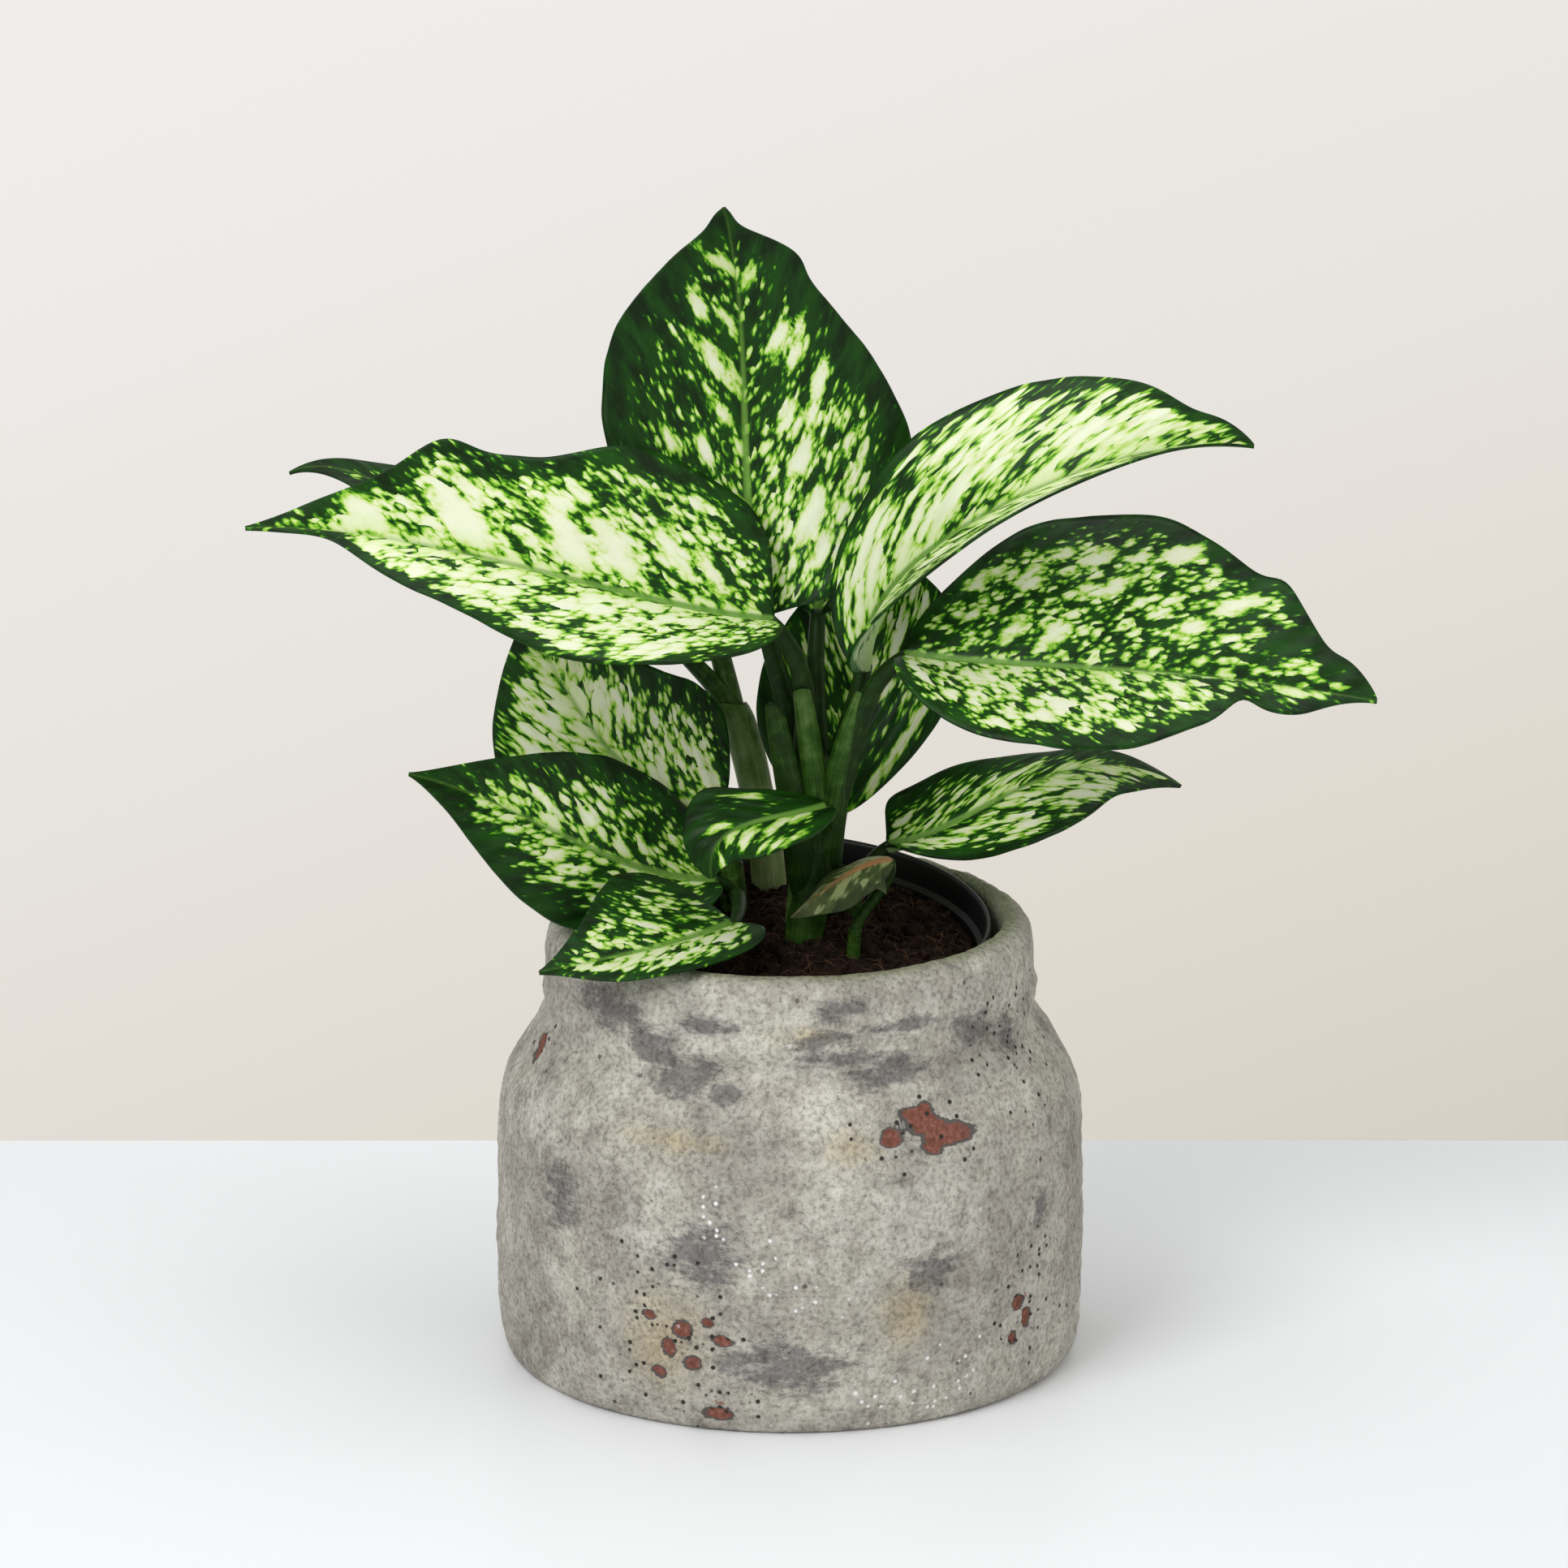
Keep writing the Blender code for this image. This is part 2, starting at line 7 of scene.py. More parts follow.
# %% Load the CAD frame
import math
import random

import bmesh
import bpy
from mathutils import Euler, Matrix, Vector, noise


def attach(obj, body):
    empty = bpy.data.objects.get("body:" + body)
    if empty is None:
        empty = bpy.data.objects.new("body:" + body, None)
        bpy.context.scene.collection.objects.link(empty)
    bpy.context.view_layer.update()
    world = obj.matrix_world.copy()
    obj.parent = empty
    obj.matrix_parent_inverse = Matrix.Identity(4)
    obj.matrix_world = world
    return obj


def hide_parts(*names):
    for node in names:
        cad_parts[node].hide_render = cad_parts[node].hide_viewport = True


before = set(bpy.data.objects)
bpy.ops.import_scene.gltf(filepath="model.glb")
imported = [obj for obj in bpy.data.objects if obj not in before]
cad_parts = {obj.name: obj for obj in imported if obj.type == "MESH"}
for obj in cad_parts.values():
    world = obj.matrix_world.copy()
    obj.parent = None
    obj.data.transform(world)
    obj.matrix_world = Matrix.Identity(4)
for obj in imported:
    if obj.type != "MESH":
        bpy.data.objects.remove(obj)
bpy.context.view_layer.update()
MM = 0.001

# %% [markdown]
# ## Small helpers
# A finish is a handful of shader nodes, so one function adds a node, sets it up and links it. Colours
# are written as the sRGB hex values that a paint program shows, and shaders want them linear.

# %% Colour and node helpers
def linear(hex_colour):
    """An sRGB hex colour as linear RGBA."""
    parts = [int(hex_colour[k:k + 2], 16) / 255.0 for k in (1, 3, 5)]
    return [p / 12.92 if p <= 0.04045 else ((p + 0.055) / 1.055) ** 2.4 for p in parts] + [1.0]


def add_node(material, kind, inputs=None, stops=None, **settings):
    """Add a node. An input takes a value, a hex colour, a node (its first output) or an output socket."""
    made = material.node_tree.nodes.new(kind)
    for name, value in settings.items():
        setattr(made, name, value)
    for place, (position, colour) in enumerate(stops or []):
        if place > 1:
            made.color_ramp.elements.new(position)
        made.color_ramp.elements[place].position = position
        made.color_ramp.elements[place].color = linear(colour)
    for key, value in (inputs or {}).items():
        socket = made.inputs[key]
        if isinstance(value, bpy.types.Node):
            value = value.outputs[0]
        if isinstance(value, bpy.types.NodeSocket):
            material.node_tree.links.new(value, socket)
        else:
            socket.default_value = linear(value) if isinstance(value, str) else value
    return made


def new_material(name, **shader_values):
    """A material whose Principled shader has these constant values."""
    material = bpy.data.materials.new(name)
    material.use_nodes = True
    shader = material.node_tree.nodes["Principled BSDF"]
    for key, value in shader_values.items():
        socket = shader.inputs[key.replace("_", " ")]
        socket.default_value = linear(value) if isinstance(value, str) else value
    return material, shader


def link(material, source, target):
    material.node_tree.links.new(source, target)


# %% Mesh helpers
def finish_mesh(name, shape, materials, smooth=True):
    """Turn a bmesh into an object at the origin, with its materials."""
    mesh = bpy.data.meshes.new(name)
    shape.to_mesh(mesh)
    shape.free()
    for material in materials:
        mesh.materials.append(material)
    if smooth:
        mesh.shade_smooth()
    thing = bpy.data.objects.new(name, mesh)
    bpy.context.scene.collection.objects.link(thing)
    return thing


def place_piece(thing, slot, *nodes):
    """Let a piece ride on the part's one body and stand for CAD nodes; the slot is not used."""
    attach(thing, "root")
    if nodes:
        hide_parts(*nodes)


def smoothstep(low, high, value):
    share = min(max((value - low) / (high - low), 0.0), 1.0)
    return share * share * (3.0 - 2.0 * share)


def through(points, share):
    """The point at a share (0 to 1) of a smooth curve through evenly spaced points, and its heading."""
    count = len(points)
    knots = [k / (count - 1) for k in range(count)]

    def place(at):
        total = Vector((0.0, 0.0, 0.0))
        for i, point in enumerate(points):
            weight = 1.0
            for j, knot in enumerate(knots):
                if j != i:
                    weight *= (at - knot) / (knots[i] - knot)
            total += Vector(point) * weight
        return total

    step = 0.001
    return place(share), (place(share + step) - place(share - step)).normalized()


# %% [markdown]
# ## The leaves
# A leaf is a sheet with a rib. The CAD part bends a coarse grid along a rib curve, and the same
# formula with a fine grid gives the same leaf with soft edges. A groove over the rib, shallow pleats
# along the side veins and small dents in the margin are added, because they catch the light.
# Lengths are in millimetres. Pairs are for the right and the left half, seen from above with the tip
# ahead. rise, curl and cup bend a half, lobe pulls it back beside the stalk, and wave ripples its edge.
# cream says how much of each half is cream coloured, at the base and at the tip, margin how wide its
# plain green margin is, and veins how steeply the side veins run towards the tip. bumps widen (+) or
# notch (-) the outline: half, place along the leaf, length as a share of the leaf, millimetres. blots
# are single bright patches and shades single dark ones: place along, place across, length and width.

# %% Measures of each leaf
LEAVES = {
    "leaf_crown": dict(
        midrib=[(-8, 2, 222), (-12.5, 13, 260), (-14, 17, 300.5), (-19, 8, 342)],
        face=[(0.1, -1, 0.1), (0.0, -1, 0.3)], half=(49, 42), belly=(0.38, 0.52), sharp=(1.05, 0.75),
        rise=(14, 14), curl=(-8, -10), cup=(0, 0), lobe=(8, 0), wave=(1.2, 2.0, 0.1),
        cream=((0.74, 0.5), (0.66, 0.48)), margin=(7, 8), veins=1.0,
        bumps=[(0, 0.87, 0.05, 4.5), (0, 0.95, 0.03, -2.0), (1, 0.78, 0.14, 3.0), (1, 0.96, 0.03, -3.0)],
        blots=[(0.86, 0.12, 16, 3.4), (0.775, 0.35, 8, 6.5), (0.72, 0.1, 8, 3), (0.615, 0.17, 20, 6.5),
               (0.675, -0.33, 10, 6), (0.64, -0.42, 8, 6), (0.57, -0.53, 8, 7.5), (0.48, -0.27, 9, 6),
               (0.49, -0.43, 8, 6), (0.41, 0.3, 7, 7), (0.38, -0.33, 13, 8), (0.34, -0.65, 10, 5),
               (0.24, -0.4, 15, 9), (0.42, -0.62, 9, 4), (0.5, 0.17, 9, 4), (0.44, 0.55, 7, 5),
               (0.3, 0.2, 9, 5), (0.15, -0.5, 12, 7), (0.7, -0.55, 6, 3.5), (0.83, -0.2, 6, 3.5)],
        shades=[(0.62, 0.14, 4, 3), (0.55, 0.35, 8, 7), (0.57, -0.2, 9, 6)]),
    "leaf_left_high": dict(
        midrib=[(-4.3, -12, 224.5), (-49.9, -24, 236.5), (-103.3, -31, 251.6), (-156.1, -34, 257.9)],
        face=[(0.0, -0.7, 0.7), (0.0, -0.8, 0.6)], half=(43, 36), belly=(0.34, 0.40), sharp=(1.25, 1.7),
        rise=(14, 28), curl=(-4, -4), cup=(0, 24), lobe=(12, 4), wave=(2.4, 2.5, 0.3),
        cream=((0.66, 0.92), (0.8, 0.84)), margin=(4.5, 2.5), veins=0.75,
        bumps=[(0, 0.68, 0.06, 7.0), (0, 0.48, 0.09, -4.0), (1, 0.84, 0.07, -3.5), (1, 0.7, 0.06, 1.5)],
        blots=[(0.62, -0.3, 24, 11), (0.44, -0.3, 26, 10), (0.35, -0.28, 26, 8), (0.24, -0.36, 22, 6),
               (0.16, -0.3, 20, 5), (0.78, -0.35, 16, 9)],
        shades=[(0.57, -0.82, 10, 5), (0.5, -0.42, 14, 3.5), (0.4, -0.68, 10, 5), (0.29, -0.62, 12, 5),
                (0.26, -0.12, 8, 4), (0.53, -0.22, 12, 3), (0.84, 0.3, 8, 6), (0.87, 0.05, 6, 4)]),
    "leaf_left_back": dict(
        midrib=[(-30.6, 30, 204), (-58, 36, 219), (-89, 42, 234), (-120, 45, 250.5), (-147.6, 46, 253.8)],
        face=[(0.1, -0.2, 1), (0.0, -0.3, 1)], half=(28, 28), belly=(0.4, 0.4), sharp=(1.4, 1.4),
        rise=(8, 8), curl=(-10, -10), cup=(0, 0), lobe=(4, 4), wave=(1.5, 2.0, 0.2),
        cream=((0.7, 0.4), (0.7, 0.4)), margin=(3, 3), veins=1.0, bumps=[], blots=[], shades=[]),
    "leaf_back_left": dict(
        midrib=[(-25, 42, 224), (-22, 68, 237), (-18, 95, 243), (-14, 120, 238)],
        face=[(0.0, -0.2, 1), (0.0, 0.1, 1)], half=(34, 34), belly=(0.4, 0.4), sharp=(1.1, 1.1),
        rise=(10, 10), curl=(-14, -14), cup=(10, 10), lobe=(6, 6), wave=(1.5, 2.0, 0.6),
        cream=((0.75, 0.7), (0.7, 0.7)), margin=(4, 4), veins=1.0, bumps=[], blots=[], shades=[]),
    "leaf_left_mid": dict(
        midrib=[(-20, 12.5, 156), (-45, 15, 169), (-63.5, 17, 192), (-77, 18, 219)],
        face=[(0.1, -1, 0.4), (0.0, -1, 0.3)], half=(33, 33), belly=(0.35, 0.48), sharp=(1.0, 1.0),
        rise=(6, 6), curl=(-8, -8), cup=(0, 0), lobe=(2, 2), wave=(1.0, 2.0, 0.1),
        cream=((0.74, 0.9), (0.74, 0.88)), margin=(6, 5), veins=1.2, bumps=[], blots=[], shades=[]),
    "leaf_left_low": dict(
        midrib=[(-21, 2, 141.5), (-50.5, -10, 151.5), (-78.5, -18, 167.5), (-110.5, -22, 181)],
        face=[(0.0, -0.8, 0.6), (0.0, -0.9, 0.5)], half=(28, 27), belly=(0.4, 0.45), sharp=(1.2, 1.2),
        rise=(8, 14), curl=(-6, -8), cup=(0, 40), lobe=(6, 4), wave=(1.0, 1.5, 0.2),
        cream=((0.7, 0.72), (0.72, 0.66)), margin=(5.5, 6), veins=1.0, bumps=[], blots=[], shades=[]),
    "leaf_back_centre": dict(
        midrib=[(15, 10, 160), (18.5, 22, 184), (20, 34, 209), (18, 42, 233)],
        face=[(0.0, -1, 0.2), (0.0, -1, 0.3)], half=(31, 29), belly=(0.6, 0.4), sharp=(0.8, 0.9),
        rise=(10, 10), curl=(-6, -6), cup=(0, 0), lobe=(0, 0), wave=(1.0, 2.0, 0.4),
        cream=((0.4, 0.85), (0.45, 0.85)), margin=(2.5, 6), veins=1.6, bumps=[],
        blots=[(0.35, -0.75, 26, 4), (0.2, -0.7, 22, 3.5), (0.5, -0.8, 22, 3.5)], shades=[]),
    "leaf_back_right": dict(
        midrib=[(8, 10, 221), (14, 38, 240), (21, 68, 247), (27, 97, 241)],
        face=[(0.0, -0.2, 1), (0.0, 0.1, 1)], half=(30, 30), belly=(0.4, 0.4), sharp=(1.1, 1.1),
        rise=(10, 10), curl=(-14, -14), cup=(10, 10), lobe=(4, 4), wave=(1.5, 2.0, 0.1),
        cream=((0.65, 0.6), (0.65, 0.6)), margin=(5, 5), veins=1.0, bumps=[], blots=[], shades=[]),
    "leaf_front": dict(
        midrib=[(11.1, -14, 169.2), (-5.5, -28, 169.4), (-18.8, -36, 166.3), (-22.6, -40, 154.6)],
        face=[(0.1, -0.3, 1), (-0.6, -0.6, 0.4)], half=(17, 17), belly=(0.54, 0.5), sharp=(0.8, 0.9),
        rise=(10, 10), curl=(-10, -10), cup=(10, 10), lobe=(2, 2), wave=(0.8, 1.5, 0.2),
        cream=((0.45, 0.2), (0.5, 0.3)), margin=(3.5, 2), veins=1.4, bumps=[(0, 0.55, 0.12, 2.0)],
        blots=[(0.64, 0.12, 7, 5), (0.64, -0.2, 6, 4), (0.57, 0.35, 10, 5), (0.22, 0.25, 9, 4),
               (0.34, 0.3, 11, 4.5), (0.45, 0.8, 6, 3), (0.35, 0.85, 6, 3), (0.55, 0.8, 6, 3),
               (0.88, 0.6, 8, 3), (0.375, -0.7, 9, 3.5)],
        shades=[]),
    "leaf_front_left": dict(
        midrib=[(-16.1, -24, 136.9), (-33.6, -45, 137), (-52.2, -56, 135.7), (-72.2, -60, 132.6)],
        face=[(0.0, -0.5, 1), (0.0, -0.6, 1)], half=(29, 19), belly=(0.32, 0.4), sharp=(1.15, 1.2),
        rise=(16, 22), curl=(-10, -10), cup=(0, 0), lobe=(4, 22), wave=(0.8, 1.5, 0.2),
        cream=((0.62, 0.82), (0.72, 0.9)), margin=(4, 3), veins=1.0, bumps=[], blots=[], shades=[]),
    "leaf_right_high": dict(
        midrib=[(21, -6, 208), (32, -12, 237), (57, -20, 258.5), (92, -26, 275.5), (133, -28, 280.5)],
        face=[(-0.5, -0.85, 0.1), (0.0, -0.7, 0.8)], half=(26, 31.5), belly=(0.42, 0.56),
        sharp=(1.1, 0.85), rise=(54, 14), curl=(8, -8), cup=(30, 20), lobe=(2, 2), wave=(1.5, 2.0, 0.2),
        cream=((0.8, 0.78), (0.82, 0.82)), margin=(2, 2.6), veins=1.7,
        bumps=[(1, 0.9, 0.04, -2.5), (1, 0.3, 0.1, -2.0)],
        blots=[(0.33, 0.3, 24, 7), (0.45, 0.3, 22, 8), (0.56, 0.5, 20, 5), (0.7, 0.3, 20, 6),
               (0.22, 0.4, 20, 6), (0.8, 0.25, 12, 5)],
        shades=[(0.6, 0.3, 12, 3), (0.39, 0.5, 12, 3)]),
    "leaf_right": dict(
        midrib=[(32.6, -18, 215.9), (71.7, -30, 216), (113.6, -36, 214.8), (168.9, -38, 207.4)],
        face=[(0.0, -0.7, 0.8), (0.0, -0.6, 0.8)], half=(35, 53), belly=(0.40, 0.5), sharp=(1.35, 0.76),
        rise=(12, 10), curl=(-6, -10), cup=(40, 10), lobe=(12, 8), wave=(2.0, 2.5, 0.3),
        cream=((0.78, 0.72), (0.68, 0.64)), margin=(3.5, 5), veins=0.65,
        bumps=[(1, 0.84, 0.035, 5.0), (1, 0.92, 0.03, -3.5), (0, 0.78, 0.035, -6.0), (0, 0.88, 0.05, 3.5)],
        blots=[(0.355, 0.75, 7, 6), (0.445, 0.7, 10, 8), (0.54, 0.7, 6, 6), (0.635, 0.79, 11, 8),
               (0.29, 0.66, 6, 4.5), (0.2, 0.75, 6, 4), (0.15, 0.75, 9, 5), (0.5, 0.52, 12, 6),
               (0.43, 0.5, 8, 4.5), (0.67, 0.33, 12, 5), (0.755, 0.62, 13, 6), (0.36, 0.19, 16, 6),
               (0.26, 0.25, 12, 4.5), (0.5, -0.12, 10, 5), (0.2, -0.3, 12, 6), (0.66, -0.3, 10, 5)],
        shades=[(0.86, 0.5, 20, 10)]),
    "leaf_right_low": dict(
        midrib=[(28.5, 18, 147.8), (54.2, 14, 159), (82.6, 10, 173.1), (114.9, 6, 169.3)],
        face=[(0.1, -0.8, 0.6), (0.0, -0.4, 1)], half=(24, 20), belly=(0.6, 0.25), sharp=(1.0, 0.85),
        rise=(10, -8), curl=(-6, -20), cup=(70, 10), lobe=(2, 5), wave=(1.5, 2.0, 0.3),
        cream=((0.76, 0.8), (0.7, 0.8)), margin=(2.5, 5), veins=1.7, bumps=[(0, 0.82, 0.05, -2.0)],
        blots=[], shades=[]),
    "leaf_old": dict(
        midrib=[(30, -13, 153.2), (20.5, -21, 152.8), (10.5, -27.5, 148.2), (0.2, -30, 140)],
        face=[(0.0, -0.3, 1), (-0.2, -0.3, 1)], half=(9, 9), belly=(0.42, 0.5), sharp=(0.9, 0.8),
        rise=(-15, -35), curl=(-20, -25), cup=(0, 0), lobe=(6, 6), wave=(0.8, 2.0, 0.1),
        cream=((0.75, 0.75), (0.7, 0.6)), margin=(1, 1), veins=1.4,
        bumps=[(1, 0.24, 0.04, 3.0)], blots=[], shades=[]),
}
print(len(LEAVES), "leaves")

# %% The shape of a leaf
LEAF_BASE_HALF = 1.5
LEAF_TIP_HALF = 0.5
BASE_ROUNDNESS = 0.6
RIB_THICKNESS = 2.4
BLADE_THICKNESS = 0.8
RIB_GROOVE = 0.5
RIB_GROOVE_WIDTH = 1.1
PLEAT_HEIGHT = 0.22
PLEAT_SPACING = 8.5
DENT_HEIGHT = 0.9
DENT_SIZE = 24.0
MARGIN_WOBBLE = 0.5
MARGIN_WOBBLE_SIZE = 9.0


def outline(share, belly, sharp):
    """Half width of a leaf at a share of its length, as a share of its greatest half width."""
    stretch = math.log(0.5) / math.log(belly)
    swell = max(math.sin(math.pi * min(max(share, 0.0), 1.0) ** stretch), 0.0)
    return swell ** (BASE_ROUNDNESS if share < belly else sharp)


def leaf_section(leaf, along):
    """What one row across a leaf needs: the rib's point and axes, and each half's width and bend."""
    centre, heading = through(leaf["midrib"], along)
    first, last = (Vector(way).normalized() for way in leaf["face"])
    face = first.lerp(last, along)
    face = (face - heading * face.dot(heading)).normalized()
    narrow = LEAF_TIP_HALF + (LEAF_BASE_HALF - LEAF_TIP_HALF) * (1.0 - along) ** 6
    halves = []
    for hand in (0, 1):
        width = narrow + (leaf["half"][hand] - narrow) * outline(along, leaf["belly"][hand], leaf["sharp"][hand])
        for side, middle, length, extra in leaf["bumps"]:
            if side == hand:
                width += extra * math.exp(-((along - middle) / length) ** 2)
        halves.append(max(width, LEAF_TIP_HALF))
    return centre, heading, face, halves


def vein_place(leaf, along_mm, out_mm):
    """Which side vein a point lies on: a vein runs outwards and towards the tip, in a slight bow."""
    return along_mm - out_mm * leaf["veins"] * (0.95 + 0.008 * out_mm)


def leaf_point(leaf, seed, length, section, along, across):
    """A point of the upper side, and its distances from the base, the rib and the margin in mm."""
    centre, heading, face, halves = section
    hand = 1 if across > 0 else 0
    reach = abs(across)
    half = halves[hand]
    out_mm = half * reach
    wobble = noise.noise(Vector((along * length / MARGIN_WOBBLE_SIZE, seed + 3.0 * hand, 0.5)))
    half += MARGIN_WOBBLE * wobble * reach * 4.0 * along * (1.0 - along)
    rise = math.radians(leaf["rise"][hand] + leaf["cup"][hand] * (1.0 - along) ** 5)
    curl = math.radians(leaf["curl"][hand]) or 0.001
    out = half * (math.sin(rise + curl * reach) - math.sin(rise)) / curl
    up = half * (math.cos(rise) - math.cos(rise + curl * reach)) / curl
    height, count, start = leaf["wave"]
    turns = 2.0 * math.pi * (count * along + start + 0.37 * hand)
    middle = 4.0 * along * (1.0 - along)
    up += height * reach ** 2 * math.sin(turns) * middle
    up -= RIB_GROOVE * (1.0 - along) * math.exp(-(out_mm / RIB_GROOVE_WIDTH) ** 2)
    vein = vein_place(leaf, along * length, out_mm)
    pleat = math.sin(2.0 * math.pi * vein / PLEAT_SPACING + seed)
    up += PLEAT_HEIGHT * pleat * smoothstep(1.0, 7.0, out_mm) * smoothstep(0.0, 5.0, half - out_mm)
    dent = noise.noise(Vector((along * length, out_mm * (1 if hand else -1), seed * 17.0)) / DENT_SIZE)
    up += DENT_HEIGHT * dent * smoothstep(0.0, 10.0, out_mm) * middle
    back = leaf["lobe"][hand] * (out / leaf["half"][hand]) ** 2 * (1.0 - along) ** 4
    side = 1.0 if across > 0 else -1.0
    point = centre + face.cross(heading) * out * side + face * up - heading * back
    return point, vein, out_mm, halves[hand] - out_mm


# %% [markdown]
# Each leaf starts as a flat grid. Every grid point takes its place on the leaf, and remembers where it
# is on the real blade in four attributes that the paint reads later: along which side vein it lies,
# how far it is from margin and rib, and how much cream colour grows there. Solidify then gives the
# thickness, with a round rib below, and paints the underside with a second material.

# %% Build a leaf
LEAF_ROWS = 128
LEAF_COLUMNS = 64
PATCH_FAR = -9.0
SPOT_STRETCH = 1.4


def row_share(row):
    """Rows lie closer together near the base and the tip."""
    turn = math.pi * row / LEAF_ROWS
    return 0.5 - 0.5 * math.cos(0.06 * (math.pi - turn) + turn) if row else 0.0


def column_share(column):
    """Columns lie closer together near the rib, for a clean groove."""
    share = 2.0 * column / LEAF_COLUMNS - 1.0
    return math.copysign(abs(share) ** 1.5, share)


def place_patches(leaf, length, patches):
    """Each patch's half, its side vein and its distance from the rib, from its place on the leaf."""
    placed = []
    for along, across, long, wide in patches:
        hand = 1 if across > 0 else 0
        out_mm = abs(across) * leaf_section(leaf, along)[3][hand]
        placed.append((hand, vein_place(leaf, along * length, out_mm), out_mm, long, wide))
    return placed


def patch_depth(patches, hand, vein, out_mm):
    """How deep inside the nearest single patch this is, in mm: each is an oval along a side vein."""
    deepest = PATCH_FAR
    for side, patch_vein, patch_out, long, wide in patches:
        if side == hand:
            reach = math.hypot((vein - patch_vein) / (0.69 * wide), (out_mm - patch_out) / (0.36 * long))
            deepest = max(deepest, (1.0 - reach) * 0.5 * wide)
    return deepest


def build_leaf(name, leaf, seed, upper, under):
    length = sum((Vector(b) - Vector(a)).length for a, b in zip(leaf["midrib"][:-1], leaf["midrib"][1:]))
    sheet = bmesh.new()
    bmesh.ops.create_grid(sheet, x_segments=LEAF_ROWS, y_segments=LEAF_COLUMNS, size=0.5)
    weight = sheet.verts.layers.deform.new()
    vein_layer = sheet.verts.layers.float_vector.new("vein")
    place_layer = sheet.verts.layers.float_vector.new("place")
    paint_layer = sheet.verts.layers.float_vector.new("paint")
    patch_layer = sheet.verts.layers.float_vector.new("patch")
    uv_layer = sheet.loops.layers.uv.new("UVMap")
    for face in sheet.faces:
        for corner in face.loops:
            corner[uv_layer].uv = (corner.vert.co.x + 0.5, corner.vert.co.y + 0.5)
    sections = [leaf_section(leaf, row_share(row)) for row in range(LEAF_ROWS + 1)]
    blots = place_patches(leaf, length, leaf["blots"])
    shades = place_patches(leaf, length, leaf["shades"])
    for vertex in sheet.verts:
        row = round((vertex.co.x + 0.5) * LEAF_ROWS)
        across = column_share(round((vertex.co.y + 0.5) * LEAF_COLUMNS))
        along = row_share(row)
        point, vein, from_rib, from_edge = leaf_point(leaf, seed, length, sections[row], along, across)
        vertex.co = point * MM
        hand = 1 if across > 0 else 0
        base, tip = leaf["cream"][hand]
        vertex[vein_layer] = (vein + 1000.0 * seed, SPOT_STRETCH * from_rib + 300.0 * hand, 0.0)
        vertex[place_layer] = (from_edge, from_rib, along)
        vertex[paint_layer] = (base + (tip - base) * along, leaf["margin"][hand], 0.0)
        vertex[patch_layer] = (patch_depth(blots, hand, vein, from_rib),
                               patch_depth(shades, hand, vein, from_rib), 0.0)
        round_rib = math.exp(-(from_rib / (1.3 - 0.7 * along)) ** 2)
        vertex[weight][0] = round_rib * (1.0 - along)
    bmesh.ops.recalc_face_normals(sheet, faces=sheet.faces[:])
    top = sections[LEAF_ROWS // 2][2]
    sheet.faces.ensure_lookup_table()
    if sum((face.normal.dot(top) for face in sheet.faces), 0.0) < 0.0:
        bmesh.ops.reverse_faces(sheet, faces=sheet.faces[:])
    thing = finish_mesh("fine_" + name, sheet, [upper, under])
    thing.vertex_groups.new(name="rib")
    thick = thing.modifiers.new("thickness", "SOLIDIFY")
    thick.thickness = RIB_THICKNESS * MM
    thick.offset = -1.0
    thick.vertex_group = "rib"
    thick.thickness_vertex_group = BLADE_THICKNESS / RIB_THICKNESS
    thick.material_offset = 1
    return thing


# %% [markdown]
# ## The leaf's paint
# A variegated leaf is living tissue with a thin waxy skin: dark green cells, cream ones with no green
# at all, and lime where the two mix. The patches are ovals along the side veins, from 9 mm down to
# 1.5 mm. Cell (Voronoi) noise makes such spots: every cell has a random radius, and the distance to
# the rim of the nearest spot, in millimetres, is the field. Three sizes of bright spot are joined by
# taking the highest field, dark specks are cut out of them by taking the lowest, finer noise frays the
# rims, and a ramp turns the field into dark green, green, lime and cream, so that every patch has a
# lime rim of the same real width.

# %% Leaf materials
SPOT_LAYERS = ((8.4, -1.53, 0.85, 1.6), (5.2, -1.48, 0.9, 1.3), (3.0, -1.44, 0.95, 0.9))
CREAM_GAIN = 1.6
DARK_SIZE = 5.0
FRAY_SIZE = 3.2
FRAY_REACH = 1.5
FINE_SIZE = 1.9
TORN_SIZE = 4.5
TORN_REACH = 6.0
FIELD_SPAN = 3.0


def leaf_spots(material, frayed, size):
    """Cells along the veins: a random number for each, and the distance to its middle, in cells."""
    cell_space = add_node(material, "ShaderNodeVectorMath",
                          {0: frayed, 1: (1.0 / size, 1.0 / size, 0.0)}, operation="MULTIPLY")
    cells = add_node(material, "ShaderNodeTexVoronoi", {"Vector": cell_space, "Scale": 1.0},
                     voronoi_dimensions="2D")
    return add_node(material, "ShaderNodeSeparateXYZ", {0: cells.outputs["Color"]}), cells.outputs["Distance"]


